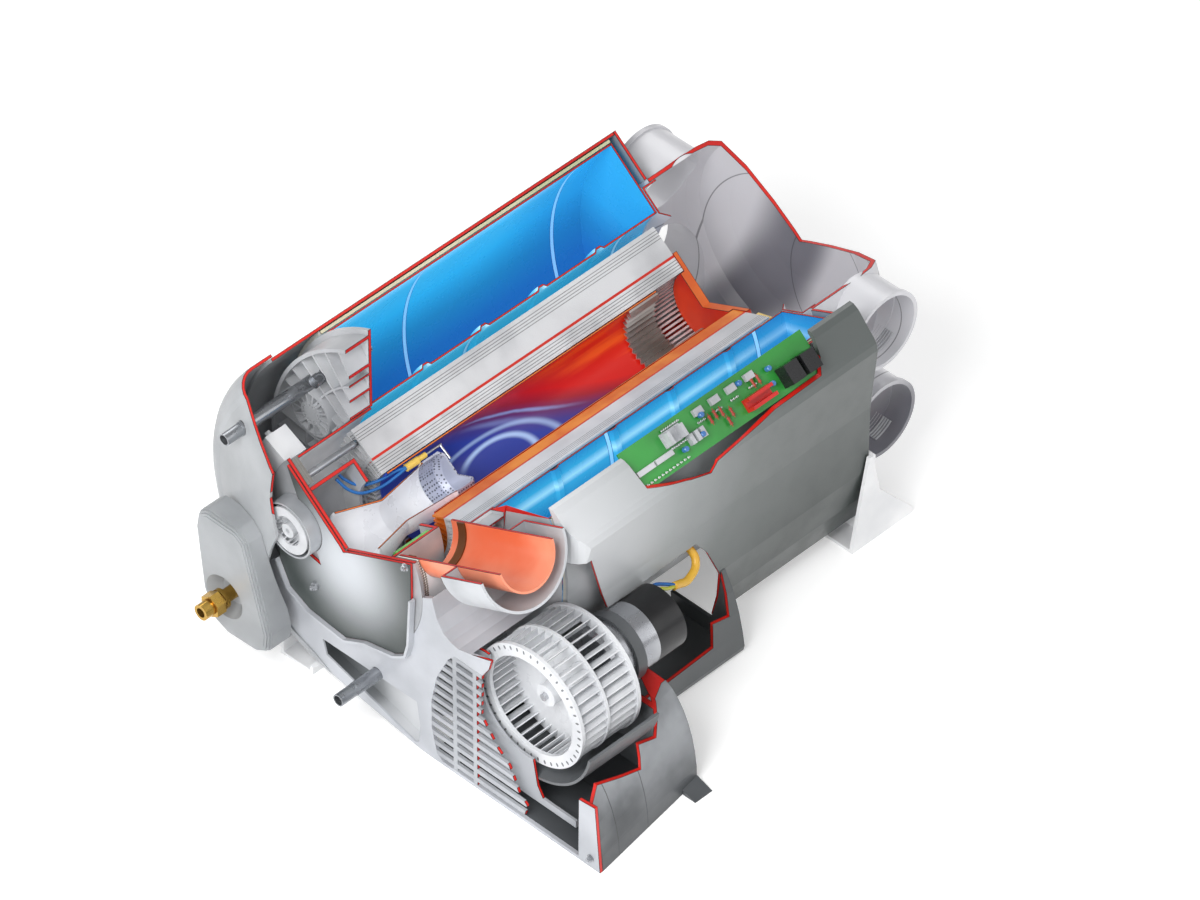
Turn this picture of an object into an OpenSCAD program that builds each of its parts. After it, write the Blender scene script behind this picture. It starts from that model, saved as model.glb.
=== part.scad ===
/* [Barrel casing] */
// Outer radius of the barrel casing
casing_r = 148; // [142:1:156]
// Length of the barrel from the front plane to its rear edge
casing_len = 391; // [385:1:400]
// Wall of the casing and its front cap
casing_wall = 2.5; // [2:0.5:3]
// Thickness of the insulation between the casing and the tank
insulation_t = 3; // [2.5:0.5:5]
// Height of the barrel's underside over the floor
ground_gap = 2; // [1:0.5:4]
// Length of the front cap's lap over the shell
cap_lap = 37; // [30:1:44]
// Depth of the front cap's dome
cap_dome = 24; // [20:1:26]
// Rounding of the front cap's corner
cap_corner = 18; // [14:1:20]
// Angle of the far cut face, up from the far horizontal
cut_back_angle = 40; // [36:1:44]
// Angle of the near cut face, measured from the far horizontal
cut_front_angle = 155; // [150:1:158]

/* [Water tank] */
// Radius of the tank's inner wall, the outside of the air passage
tank_inner_r = 77; // [76:0.5:80]
// Sheet thickness of the tank
tank_wall = 1.5; // [1:0.1:2]
// Place of the tank's front end along the barrel
tank_x = 82; // [81:1:84]
// Room between the tank's rear end and the barrel's rear edge
tank_rear_room = 9; // [7:0.5:12]
// Height of the swaged beads on the tank's inner wall
tank_bead = 2.2; // [1:0.1:3]
// Number of beads on the tank's inner wall
bead_count = 4; // [2:1:6]
// Wall of the neck between the burner and the tank
neck_wall = 2; // [1.5:0.5:3]
// Radius of the water pipes' connection ends
pipe_r = 5; // [4:0.5:6]
// Length of the connection ends
pipe_end = 16; // [12:1:20]
// Wall of the water pipes
pipe_wall = 1; // [0.8:0.1:1.2]
// Reach of the warm water pipe's end in front of the barrel
warm_reach = 24; // [20:1:30]
// Reach of the cold water pipe's end in front of the barrel
cold_reach = 40; // [36:1:44]
// Depth of the ribbed tank cap
rib_cap_depth = 26; // [20:1:28]
// Number of ribs on the full round of the ribbed cap
rib_count = 48; // [36:2:60]

/* [Heat exchanger] */
// Outer radius of the exchanger's wall
core_r = 45.6; // [44:0.2:47]
// Wall of the exchanger
core_wall = 2.6; // [2:0.2:3]
// Width of the air passage between the fins and the tank
air_passage = 7; // [5:0.5:9]
// Thickness of a fin
fin_t = 1.6; // [1.2:0.1:2]
// Number of fins on the full round
fin_count = 54; // [40:2:60]
// Place of the exchanger's front end
core_x = 60; // [58:1:64]
// Room between the exchanger's rear end and the tank's rear end
core_rear_room = 8; // [6:1:12]
// Outer radius of the combustion tube
tube_r = 30; // [28:0.5:31]
// Wall of the combustion tube
tube_wall = 1.5; // [1:0.1:2]
// Room behind the combustion tube where the gas turns back
tube_rear_room = 30; // [24:1:36]
// Thickness of the chamber's rear wall
rear_wall_t = 4; // [3:0.5:5]
// Height of the waves in the turbulator ring
swirl_wave = 3.5; // [2:0.5:5]
// Number of bends in the turbulator ring
swirl_waves = 44; // [24:2:60]
// Length of the turbulator ring
swirl_len = 30; // [24:1:34]
// Length of the temperature sensor's block
sensor_len = 22; // [18:1:26]

/* [Burner] */
// Thickness of the burner flange
flange_t = 3; // [2:0.5:4]
// Thickness of the fibre mat behind the flange
gasket_t = 6; // [3:0.5:8]
// Radius of the burner cup behind the flange
cup_r = 52; // [48:1:54]
// Depth of the burner cup
cup_len = 45; // [40:1:50]
// Wall of the burner cup
cup_wall = 3; // [2:0.5:4]
// Length of the perforated burner head
head_len = 20; // [16:1:24]
// Radius of the burner head
head_r = 22; // [18:1:24]
// Radius of the gas pipe to the burner
feed_r = 3; // [2.5:0.5:4]
// Length of the ignition electrode's insulator
electrode_len = 20; // [16:1:24]
// Radius of the insulator
electrode_r = 3; // [2.5:0.1:3.5]
// Radius of the combustion air impeller
puff_r = 20; // [18:1:22]
// Depth of the combustion air impeller
puff_len = 8; // [6:0.5:8]
// Depth of the combustion air blower's drum
puff_depth = 14; // [13:0.5:15]
// Wall of the drum
puff_wall = 1.5; // [1:0.1:2]
// Number of the impeller's blades
puff_blades = 18; // [12:1:24]
// Height of the overheat switch on the neck
switch_h = 24; // [20:1:26]

/* [Flue] */
// Outer radius of the exhaust duct
exhaust_r = 27; // [25:0.5:29]
// Wall of the exhaust duct
exhaust_wall = 1.8; // [1.2:0.1:2.4]
// Outer radius of the combustion air socket round the exhaust
socket_r = 42; // [40:0.5:43]
// Wall of the combustion air socket
socket_wall = 2.2; // [1.8:0.1:3]
// Length of the combustion air socket
socket_len = 44.6; // [40:0.2:48]
// Place of the flue's axis along the barrel
flue_x = 33; // [32:0.5:34]
// Reach of the exhaust duct out of the casing
exhaust_out = 19; // [14:1:24]
// Width of the clamp band in the exhaust duct
clamp_w = 8; // [6:1:10]

/* [Warm air blower] */
// Radius of the blower wheel
wheel_r = 52; // [48:1:53]
// Width of the blower wheel
wheel_len = 60; // [56:1:62]
// Number of blades on the wheel
wheel_blades = 40; // [30:2:44]
// Place of the wheel behind the front plane
wheel_x = 18; // [17:1:20]
// Distance of the blower's axis from the casing
wheel_stand = 22; // [20:1:24]
// Room between the wheel and the floor
under_wheel = 44; // [42:1:48]
// Room between the wheel and the scroll round it
scroll_room = 10; // [8:1:12]
// Radius of the blower motor
motor_r = 26; // [24:0.5:27]
// Length of the motor's metal body
motor_len = 45; // [42:1:48]
// Length of the motor's black end cap
motor_cap_len = 27; // [24:1:30]
// Radius of the blower shaft
shaft_r = 3; // [2.5:0.1:3.5]
// Radius of the motor's cable
cable_r = 3; // [2:0.5:4]
// Room between the wheel and the near wall of the housing
box_room = 35; // [32:1:38]
// Depth of the blower housing along the barrel
box_len = 118; // [112:1:122]
// Height of the front housing's peak over the barrel's axis
panel_rise = 10; // [6:1:14]
// Wall of the housings
box_wall = 3; // [2.5:0.5:3.5]
// Depth of the rim round the opening over the burner
rim_depth = 6; // [5:0.5:8]
// Length of the housing under the electronics
lower_len = 120; // [114:1:126]
// Number of slats in the intake grille
slat_count = 13; // [9:1:15]

/* [Electronics] */
// Wall of the electronics cover
cover_wall = 2.3; // [2:0.1:2.6]
// Distance of the electronics cover from the casing
cover_stand = 10; // [9:0.5:12]
// Height of the cover's top over the barrel's axis
cover_rise = 72; // [68:1:76]
// Length of the circuit board
board_len = 190; // [180:1:196]
// Width of the circuit board
board_w = 34; // [32:1:36]
// Thickness of the circuit board
board_t = 1.6; // [1.2:0.2:2]

/* [Warm air outlets] */
// Outer radius of the rear air distributor
pot_r = 102; // [98:1:104]
// Length of the distributor behind the barrel
pot_len = 86; // [82:1:90]
// Wall of the distributor
pot_wall = 3; // [2.5:0.5:3.5]
// Outer radius of a warm air outlet
outlet_r = 32.5; // [31:0.5:33]
// Wall of a warm air outlet
outlet_wall = 2; // [1.5:0.5:2.5]
// Length of the round seat for a duct in an outlet's mouth
outlet_seat = 20; // [16:1:24]
// Step that stops a duct at the seat's end
outlet_stop = 1; // [0.5:0.1:1.5]
// Height of the bead round an outlet's mouth
outlet_bead = 1.5; // [1:0.1:2]
// Reach of the near outlets from the barrel's axis
near_reach = 124; // [122:1:130]
// Reach of the far outlets from the barrel's axis
far_reach = 120; // [116:1:124]

/* [Gas inlet] */
// Depth of the gas cover in front of the barrel
gas_depth = 35; // [32:1:38]
// Rounding of the gas cover's edges
gas_round = 6; // [4:1:8]
// Radius of the gas pipe fitting
gas_r = 6.5; // [5.5:0.5:7]
// Length of the gas pipe fitting
gas_len = 24; // [20:1:28]

/* [Feet] */
// Width of a foot
foot_w = 34; // [30:1:38]
// Length of the front foot
foot_len = 34; // [30:1:38]
// Length of a rear foot
rear_foot_len = 65; // [60:1:70]
// Height of a rear foot
rear_foot_h = 86; // [80:1:90]
// Sheet thickness of the feet
foot_t = 3; // [2:0.5:4]

/* [Hidden] */

$fn = 72;
// One overrun serves every cut
over = 1;
// Clearance between pieces that lie beside each other
gap = 0.3;
// Radial play of a shaft in its bearing
bearing_play = 0.05;

// Barrel
axis_z = casing_r + ground_gap;
kept_angle = 360 - (cut_front_angle - cut_back_angle);
shell_r = casing_r - casing_wall - gap;
shell_x = cap_lap - 7 * gap;
cap_flat_r = casing_r - cap_corner;
far = 2 * casing_r;
jacket_r = shell_r - casing_wall - gap;
tank_r = jacket_r - insulation_t - gap;
tank_end_x = casing_len - tank_rear_room;
neck_r = tank_inner_r - 3 * gap;
flange_r = neck_r + neck_wall;
front_t = flange_t + gasket_t;
core_end_x = tank_end_x - core_rear_room;
fin_tip_r = tank_inner_r - air_passage;

// Flue
exhaust_end = casing_r + exhaust_out;
exhaust_start = cup_r + neck_wall;
socket_end = exhaust_end - 2 * socket_wall;
socket_start = socket_end - socket_len;
duct_in_r = exhaust_r - exhaust_wall;

// Warm air blower
wheel_side = casing_r + wheel_stand;
wheel_z = wheel_r + under_wheel;
wheel_end_x = wheel_x + wheel_len;
wheel_gap = 7 * gap;
motor_x = wheel_end_x + wheel_gap;
motor_end_x = motor_x + motor_len;
ring_t = box_wall;
blade_t = over;
blade_share = 0.8;
blade_in_r = wheel_r * blade_share;
hub_r = 3 * shaft_r;
scroll_r = wheel_r + scroll_room;
cheek_x = wheel_x - 2 * box_wall;
cheek_t = box_wall * 0.7;
back_plate_x = wheel_end_x + 6 * box_wall;
box_side = wheel_side + wheel_r + box_room;
panel_h = axis_z + panel_rise;

// Electronics cover
cover_x = flue_x + socket_r + 10 * gap;
cover_side = casing_r + cover_stand;
cover_top = axis_z + cover_rise;

// Box of the whole part, for the origin under its middle
min_x = -gas_depth - gas_len;
max_x = casing_len + pot_len;
mid_x = (min_x + max_x) / 2;
mid_side = (box_side - casing_r) / 2;

// Puts the part's origin on the floor, under the middle of its box
module home() {
  translate([-mid_x, mid_side, 0]) children();
}

// Lays a shape drawn round +Z along the barrel's axis, with angle 0 toward the far side and 90 up
module barrel() {
  translate([0, 0, axis_z]) rotate([90, 0, 90]) children();
}

// Revolves a [radius, x] profile round the barrel's axis and leaves the cut sector open
module kept_ring(profile) {
  barrel() rotate(cut_front_angle) rotate_extrude(angle = kept_angle, $fn = 96) polygon(profile);
}

// A straight tube wall as a [radius, x] profile
function wall_profile(r, t, x0, x1) = [[r - t, x0], [r, x0], [r, x1], [r - t, x1]];

// Raises an outline drawn as [reach toward the near side, height] between two places along the barrel
module across(x0, x1) {
  translate([x1, 0, 0]) rotate([90, 0, -90]) linear_extrude(x1 - x0) children();
}

// Raises an outline drawn as [x, height] between two reaches toward the near side
module sideways(side0, side1) {
  translate([0, -side0, 0]) rotate([90, 0, 0]) linear_extrude(side1 - side0) children();
}

// Places a shape at a reach and a height, turned to run along the barrel
module along_x(x, side, z) {
  translate([x, -side, z]) rotate([0, 90, 0]) children();
}

// Cuts a round hole along the barrel
module bore_x(x0, x1, side, z, r) {
  along_x(x0 - over, side, z) cylinder(h = x1 - x0 + 2 * over, r = r);
}

// Places a shape on the flue's axis, running outward from a radius
module on_flue(r0) {
  barrel() rotate(cut_front_angle) translate([r0, 0, flue_x]) rotate([0, 90, 0]) children();
}

// Points of an outline from shares of a width and a height
function scaled(shares, w, h) = [for (p = shares) [p[0] * w, p[1] * h]];

// Points round the barrel's axis, from shares of the casing's radius
function on_axis(shares) = [for (p = shares) [p[0] * casing_r, axis_z + p[1] * casing_r]];

// Points round the blower's axis, from shares of the wheel's radius
function on_wheel(shares) = [for (p = shares) [wheel_side + p[0] * wheel_r, wheel_z + p[1] * wheel_r]];

// Points under the wheel, from shares of its radius and of the room under it
function below_wheel(shares) = [for (p = shares) [wheel_side + p[0] * wheel_r, p[1] * under_wheel]];

// Outline of the front cap's outside, from the axis to the lap
dome_steps = 8;

function cap_line(inset) = concat(
  [for (i = [0 : dome_steps]) let (s = i / dome_steps)
    [cap_flat_r * s, -cap_dome * (1 - s * s) - 4 * gap + inset]],
  [for (a = [15 : 15 : 90]) [cap_flat_r + (cap_corner - inset) * sin(a),
    cap_corner - 4 * gap - (cap_corner - inset) * cos(a)]],
  [[casing_r - inset, cap_lap]]);

function reversed(list) = [for (i = [len(list) - 1 : -1 : 0]) list[i]];

// The sector that the cut opens, between two places along the barrel
module cut_sector(x0, x1) {
  barrel() translate([0, 0, x0]) linear_extrude(x1 - x0) polygon([
    [0, 0],
    [far * cos(cut_back_angle), far * sin(cut_back_angle)],
    [0, far],
    [far * cos(cut_front_angle), far * sin(cut_front_angle)]
  ]);
}

// Open side of the barrel's front, where the blower nests and the flue passes
room_corner_share = [0.556, -0.7];

module front_room() {
  corner = on_axis([room_corner_share])[0];
  across(-far, tank_x - 2 * gap) translate(corner) square(2 * far);
}

// Solid barrel with clearance, cut from what lies against the casing
module barrel_room(x0, x1) {
  across(x0 - over, x1 + over) translate([0, axis_z]) circle(r = casing_r + gap, $fn = 96);
}

// Outline of the opening in the front, over the burner and beside the flue
window_shares = [[-0.46, -0.331], [-0.385, -0.48], [-0.25, -0.547], [-0.12, -0.562], [0.007, -0.574],
  [0.149, -0.5], [0.351, -0.453], [0.43, -0.4], [0.453, -0.311], [0.472, -0.007]];
// Edge of the front cap beside the burner
cap_jag_shares = [[-0.385, 0.324], [-0.392, 0.176], [-0.357, 0.03], [-0.336, -0.036], [-0.405, -0.19]];
// Far edge of the front housing, from its foot up to the opening
far_edge_shares = [[-0.1, -0.92], [-0.236, -0.845], [-0.38, -0.79], [-0.503, -0.711], [-0.58, -0.61],
  [-0.616, -0.505]];
far_foot_share = 0.3;

// Barrel casing
module casing_shell() {
  color([0.6, 0.62, 0.63]) home() difference() {
    kept_ring(wall_profile(shell_r, casing_wall, shell_x, casing_len - casing_wall - gap));
    front_room();
  }
}

module casing_front_cap() {
  color([0.62, 0.65, 0.68]) home() difference() {
    kept_ring(concat(cap_line(0), reversed(cap_line(casing_wall))));
    front_room();
    across(-far, cap_corner) offset(delta = gap) polygon(concat(
      on_axis(cap_jag_shares), on_axis([window_shares[0]]), on_axis(reversed(far_edge_shares)),
      [[box_side * far_foot_share, -over], [far, -over], [far, far], [0, far]]));
    bore_x(-2 * cap_dome, cap_corner, -warm_side, warm_z, pipe_out_r + gap);
  }
}

module casing_rear_plate() {
  color([0.6, 0.62, 0.63]) home() kept_ring(wall_profile(
    shell_r, shell_r - pot_r - gap, casing_len - casing_wall, casing_len));
}

module insulation_jacket() {
  color([0.75, 0.78, 0.55]) home() kept_ring(wall_profile(jacket_r, insulation_t, tank_x, tank_end_x));
}

// Water tank
module tank_outer_wall() {
  color([0.15, 0.55, 0.85]) home() kept_ring(wall_profile(tank_r, tank_wall, tank_x, tank_end_x - tank_wall));
}

function bead_line(r) = concat(
  [[r, tank_x]],
  [for (i = [1 : bead_count]) each let (x = tank_x + (tank_end_x - tank_x) * i / (bead_count + 1))
    [[r, x - 2 * tank_bead], [r + tank_bead, x - tank_bead], [r + tank_bead, x + tank_bead], [r, x + 2 * tank_bead]]],
  [[r, tank_end_x - tank_wall]]);

module tank_inner_wall() {
  color([0.2, 0.6, 0.9]) home() kept_ring(concat(
    bead_line(tank_inner_r), reversed(bead_line(tank_inner_r + tank_wall))));
}

module tank_rear_ring() {
  color([0.15, 0.5, 0.8]) home() kept_ring(wall_profile(
    tank_r, tank_r - tank_inner_r, tank_end_x - tank_wall, tank_end_x));
}

// Ribbed cap on the tank's front end, with a ribbed hub beside the pipes
rim_share = 0.97;
inner_ring_share = 0.76;
vertical_cut_share = 0.37;
hub_angle = 22;
hub_ribs = 14;

module ribs(count, r0, r1) {
  for (i = [0 : count - 1]) rotate(360 * i / count) translate([r0, -fin_t / 2]) square([r1 - r0, fin_t]);
}

module ring(r, t) {
  difference() {
    circle(r = r);
    circle(r = r - t);
  }
}

module tank_front_cap() {
  rim_x = tank_x - rib_cap_depth;
  rim_r = tank_r * rim_share;
  plate_t = 2 * tank_wall;
  hub_out_r = 4 * pipe_r;
  hub_place_r = (rim_r + neck_r) / 2 - pipe_r;
  color([0.8, 0.82, 0.84]) home() difference() {
    barrel() union() {
      rotate_extrude($fn = 96) polygon([
        [neck_r + gap, tank_x - plate_t], [rim_r - plate_t, tank_x - plate_t], [rim_r - plate_t, rim_x],
        [rim_r, rim_x], [rim_r, tank_x - plate_t], [tank_r, tank_x - plate_t], [tank_r, tank_x - gap],
        [neck_r + gap, tank_x - gap]]);
      translate([0, 0, rim_x + plate_t]) linear_extrude(rib_cap_depth - plate_t - over) union() {
        ring(rim_r * inner_ring_share, fin_t, $fn = 96);
        difference() {
          ribs(rib_count, neck_r, rim_r - tank_wall);
          circle(r = neck_r + gap);
          rotate(hub_angle) translate([hub_place_r, 0]) circle(r = hub_out_r);
        }
      }
      rotate(hub_angle) translate([hub_place_r, 0, rim_x]) linear_extrude(rib_cap_depth - over) union() {
        ring(hub_out_r, fin_t);
        ring(hub_out_r * 0.5, fin_t);
        ribs(hub_ribs, pipe_r, hub_out_r - fin_t / 2);
        circle(r = pipe_r + fin_t);
      }
    }
    barrel() translate([0, 0, rim_x - over]) linear_extrude(rib_cap_depth + 2 * over) polygon([
      [0, 0], [casing_r * vertical_cut_share, casing_r * vertical_cut_share * tan(cut_back_angle)],
      [casing_r * vertical_cut_share, far], [far * cos(cut_front_angle), far],
      [far * cos(cut_front_angle), far * sin(cut_front_angle)]]);
    barrel() translate([0, 0, rim_x - over]) cylinder(h = rib_cap_depth + 2 * over, r = neck_r + gap, $fn = 96);
    on_flue(core_r) cylinder(h = far, r = exhaust_r + gap);
    front_room();
    bore_x(rim_x, tank_x, -warm_side, warm_z, pipe_out_r + gap);
    bore_x(rim_x, tank_x, -vent_side, vent_z, pipe_out_r + gap);
    bore_x(rim_x, tank_x, cold_side, cold_z, pipe_out_r + gap);
  }
}

module tank_neck() {
  color([0.85, 0.86, 0.88]) home() difference() {
    kept_ring(wall_profile(neck_r, neck_wall, front_t, tank_x + over));
    on_flue(core_r) cylinder(h = neck_r, r = exhaust_r + gap);
  }
}

// Water pipes
pipe_out_r = pipe_r + gap;
pipe_in_tank = rib_cap_depth - neck_wall;
warm_share = [-0.676, 0.399];
warm_side = -casing_r * warm_share[0];
warm_z = axis_z + casing_r * warm_share[1];
vent_share = [-0.568, 0.52];
vent_side = -casing_r * vent_share[0];
vent_z = axis_z + casing_r * vent_share[1];
cold_share = [0.203, -0.696];
cold_side = casing_r * cold_share[0];
cold_z = axis_z + casing_r * cold_share[1];

module pipe_bore(x0, x1, side, z) {
  bore_x(x0, x1, side, z, pipe_r - pipe_wall);
}

// A water pipe with a round connection end in front
module water_pipe(x0, x1, side, z) {
  difference() {
    union() {
      along_x(x0, side, z) cylinder(h = pipe_end + over, r = pipe_r);
      along_x(x0 + pipe_end, side, z) cylinder(h = x1 - x0 - pipe_end, r = pipe_out_r);
    }
    pipe_bore(x0, x1, side, z);
  }
}

module warm_water_pipe() {
  color([0.7, 0.72, 0.74]) home() water_pipe(-warm_reach, tank_x + pipe_in_tank, -warm_side, warm_z);
}

// Short vent pipe with its plug in front
module vent_pipe() {
  x0 = tank_x - 4 * pipe_r;
  color([0.7, 0.72, 0.74]) home() union() {
    difference() {
      along_x(x0, -vent_side, vent_z) cylinder(h = tank_x + pipe_in_tank - x0, r = pipe_out_r);
      pipe_bore(x0, tank_x + pipe_in_tank, -vent_side, vent_z);
    }
    along_x(x0 - pipe_r * 1.2, -vent_side, vent_z) cylinder(h = pipe_r * 1.8, r = pipe_r - pipe_wall / 2);
    along_x(x0 - pipe_r * 2.2, -vent_side, vent_z) cylinder(h = pipe_r * 1.1, r = pipe_r);
  }
}

module cold_water_pipe() {
  color([0.7, 0.72, 0.74]) home() water_pipe(-cold_reach, tank_x + pipe_in_tank / 2, cold_side, cold_z);
}

// Heat exchanger
// Outline of one fin as points at a root radius and a tip radius
function fin_points(root_r, tip_r, a) = [
  [root_r * cos(a) - fin_t / 2 * -sin(a), root_r * sin(a) - fin_t / 2 * cos(a)],
  [tip_r * cos(a) - fin_t / 2 * -sin(a), tip_r * sin(a) - fin_t / 2 * cos(a)],
  [tip_r * cos(a) + fin_t / 2 * -sin(a), tip_r * sin(a) + fin_t / 2 * cos(a)],
  [root_r * cos(a) + fin_t / 2 * -sin(a), root_r * sin(a) + fin_t / 2 * cos(a)]];

function fin_row(root_r, tip_r, n) = [for (i = [0 : n - 1]) each
  fin_points(root_r, tip_r, 2 + (kept_angle - 4) * i / (n - 1))];

module heat_exchanger() {
  shown = round(fin_count * kept_angle / 360);
  color([0.86, 0.87, 0.88]) home() barrel() rotate(cut_front_angle) translate([0, 0, core_x])
    linear_extrude(core_end_x - core_x) polygon(concat(
      fin_row(core_r, fin_tip_r, shown),
      reversed(fin_row(core_r - core_wall, tube_r + 2 * gap, shown))));
}

module combustion_tube() {
  color([0.6, 0.3, 0.12]) home() kept_ring(wall_profile(
    tube_r, tube_wall, core_x + 2 * neck_wall, core_end_x - tube_rear_room));
}

module chamber_rear_wall() {
  color([0.85, 0.3, 0.15]) home() kept_ring([
    [0, core_end_x - rear_wall_t], [tube_r, core_end_x - rear_wall_t], [tube_r, core_end_x],
    [core_r, core_end_x], [core_r, core_end_x + rear_wall_t], [0, core_end_x + rear_wall_t]]);
}

// One side of the corrugated ring, from the near cut face round to the far one
function swirl_line(inset) = [for (i = [0 : swirl_waves]) let (a = kept_angle * i / swirl_waves,
  r = tube_r - tube_wall - gap - inset - swirl_wave * (i % 2)) [r * cos(a), r * sin(a)]];

module turbulator_ring() {
  color([0.6, 0.6, 0.62]) home() barrel() rotate(cut_front_angle)
    translate([0, 0, core_end_x - tube_rear_room - swirl_len])
      linear_extrude(swirl_len) polygon(concat(swirl_line(0), reversed(swirl_line(tube_wall))));
}

module heat_sensor() {
  color([0.92, 0.8, 0.47]) home() barrel() rotate(cut_front_angle + 8)
    translate([core_r + gap, 0, core_end_x + gap]) cube([sensor_len, sensor_len * 0.65, sensor_len * 0.45]);
}

// Burner
puff_side = casing_r * 0.31;
puff_z = axis_z - puff_wall;
drum_in_r = puff_r + 7 * gap;
drum_r = drum_in_r + puff_wall;
puff_pin_r = shaft_r * 0.67;
cover_t = 2.5;
// Outline of the cover plate over the burner's front, past the opening's own corners
cover_plate_shares = [[0.472, 0.3], [0, 0], [-0.392, 0.4], [-0.392, 0.329], [-0.166, -0.189], [-0.338, -0.157],
  [-0.456, -0.192]];
screw_place_share = [-0.196, -0.351];

module cover_plate_outline(clearance) {
  offset(delta = -clearance) polygon(concat(on_axis(window_shares), on_axis(cover_plate_shares)));
}

module burner_cover() {
  color([0.45, 0.47, 0.49]) home() difference() {
    across(-gap - cover_t, -gap) cover_plate_outline(2 * gap);
    cut_sector(-far, over);
    bore_x(-cover_t, 0, -puff_side, puff_z, drum_r + gap);
  }
}

module burner_flange() {
  color([0.8, 0.3, 0.2]) home() difference() {
    kept_ring([[gap, 0], [flange_r, 0], [flange_r, flange_t], [gap, flange_t]]);
    bore_x(0, flange_t, -puff_side, puff_z, puff_r * 0.5);
  }
}

module burner_gasket() {
  color([0.75, 0.73, 0.7]) home() difference() {
    kept_ring(wall_profile(flange_r - neck_wall, flange_r - cup_r - 2 * neck_wall, flange_t, front_t));
    on_flue(exhaust_start - over) cylinder(h = flange_r, r = exhaust_r + gap);
  }
}

mouth_share = 0.62;

module burner_cup() {
  x0 = flange_t;
  x1 = flange_t + cup_len;
  color([0.85, 0.84, 0.82]) home() kept_ring([
    [cup_r - cup_wall, x0], [cup_r, x0], [cup_r, x1], [cup_r * mouth_share, x1],
    [cup_r * mouth_share, x1 - cup_wall], [cup_r - cup_wall, x1 - cup_wall]]);
}

throat_share = 0.28;
head_x = core_x + head_r + 4 * cup_wall;

module mixing_tube() {
  wide_r = cup_r * 0.5;
  color([0.88, 0.88, 0.9]) home() kept_ring([
    [wide_r, front_t], [wide_r + tube_wall, front_t], [cup_r * throat_share + tube_wall, flange_t + cup_len],
    [head_r - tube_wall, head_x - cup_wall], [head_r, head_x], [head_r - tube_wall, head_x],
    [cup_r * throat_share, flange_t + cup_len]]);
}

module burner_head() {
  x0 = head_x + gap;
  x1 = x0 + head_len;
  round_r = head_r * 0.2;
  color([0.5, 0.5, 0.52]) home() kept_ring([
    [head_r - tube_wall, x0], [head_r, x0], [head_r, x1 - round_r], [head_r - round_r, x1],
    [0, x1], [0, x1 - tube_wall], [head_r - round_r - tube_wall, x1 - tube_wall],
    [head_r - tube_wall, x1 - round_r - tube_wall]]);
}

// Ignition electrode, beside the burner head
electrode_place_r = head_r + electrode_r;
electrode_x = core_x + head_r;
nose_len = electrode_len * 0.4;
wire_r = electrode_r * 0.35;
spark_len = electrode_len * 0.78;

module electrode_place() {
  barrel() rotate(cut_back_angle - 8) translate([electrode_place_r, 0, electrode_x]) children();
}

module electrode_insulator() {
  color([0.93, 0.82, 0.4]) home() electrode_place() union() {
    cylinder(h = electrode_len - nose_len, r = electrode_r);
    translate([0, 0, electrode_len - nose_len]) cylinder(h = nose_len, r = electrode_r * 0.75);
  }
}

module electrode_rod() {
  color([0.8, 0.8, 0.82]) home() electrode_place() translate([0, 0, electrode_len + gap]) union() {
    cylinder(h = spark_len, r = wire_r);
    translate([0, 0, spark_len - wire_r]) rotate([0, -90, 0]) cylinder(h = spark_len * 0.8, r = wire_r);
  }
}

module ignition_cable() {
  cable_len = electrode_x - front_t - cup_len + over;
  color([0.15, 0.35, 0.6]) home() electrode_place() translate([0, 0, -cable_len])
    cylinder(h = cable_len - gap, r = electrode_r * 0.55);
}

module gas_pipe() {
  color([0.45, 0.75, 0.35]) home() barrel() rotate(cut_front_angle + 4)
    translate([cup_r - cup_wall - gap - feed_r, 0, front_t])
      cylinder(h = cup_len - gasket_t - 2 * cup_wall, r = feed_r);
}

// Combustion air blower in front of the flange
module combustion_air_housing() {
  color([0.78, 0.8, 0.82]) home() union() {
    along_x(-puff_depth, -puff_side, puff_z) difference() {
      cylinder(h = puff_depth - gap, r = drum_r);
      translate([0, 0, -over]) cylinder(h = puff_depth - gap - 2 * puff_wall + over, r = drum_in_r);
    }
    along_x(-puff_depth, -puff_side, puff_z) cylinder(h = puff_depth - gap - puff_wall, r = puff_pin_r);
  }
}

module combustion_impeller() {
  back = puff_depth - 2 * gap - 4 * puff_wall;
  front = back - puff_len;
  color([0.86, 0.87, 0.88]) home() along_x(-puff_depth + gap, -puff_side, puff_z) difference() {
    union() {
      translate([0, 0, back - puff_wall]) cylinder(h = puff_wall, r = puff_r);
      translate([0, 0, front]) cylinder(h = puff_len, r = puff_r * 0.3);
      translate([0, 0, front + puff_wall / 2]) linear_extrude(puff_len - puff_wall) for (i = [0 : puff_blades - 1])
        rotate(360 * i / puff_blades) translate([puff_r * 0.6, 0]) rotate(35) square([puff_r * 0.36, puff_wall * 0.7]);
      translate([0, 0, front]) linear_extrude(puff_wall) ring(puff_r, puff_r * 0.38);
    }
    translate([0, 0, -over]) cylinder(h = puff_depth, r = puff_pin_r + bearing_play);
  }
}

// Overheat switch on the neck
switch_angle = 26;

module temperature_switch() {
  w = switch_h * 0.85;
  color([0.9, 0.9, 0.9]) home() barrel() rotate(switch_angle)
    translate([neck_r + gap, 0, flange_t + gap]) union() {
      translate([0, -w / 2, 0]) cube([switch_h, w, w]);
      translate([switch_h - 2 * gap, 0, w / 2]) rotate([0, 90, 0]) cylinder(h = switch_h * 0.12, r = w * 0.16);
      translate([switch_h + switch_h * 0.1, 0, w / 2]) rotate([0, 90, 0])
        cylinder(h = switch_h * 0.1, r = w * 0.12, $fn = 6);
    }
}

// Flue
module half_duct(r, wall, r0, r1) {
  difference() {
    on_flue(r0) difference() {
      cylinder(h = r1 - r0, r = r);
      translate([0, 0, -over]) cylinder(h = r1 - r0 + 2 * over, r = r - wall);
    }
    cut_sector(flue_x - socket_r - over, flue_x + socket_r + over);
  }
}

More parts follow.
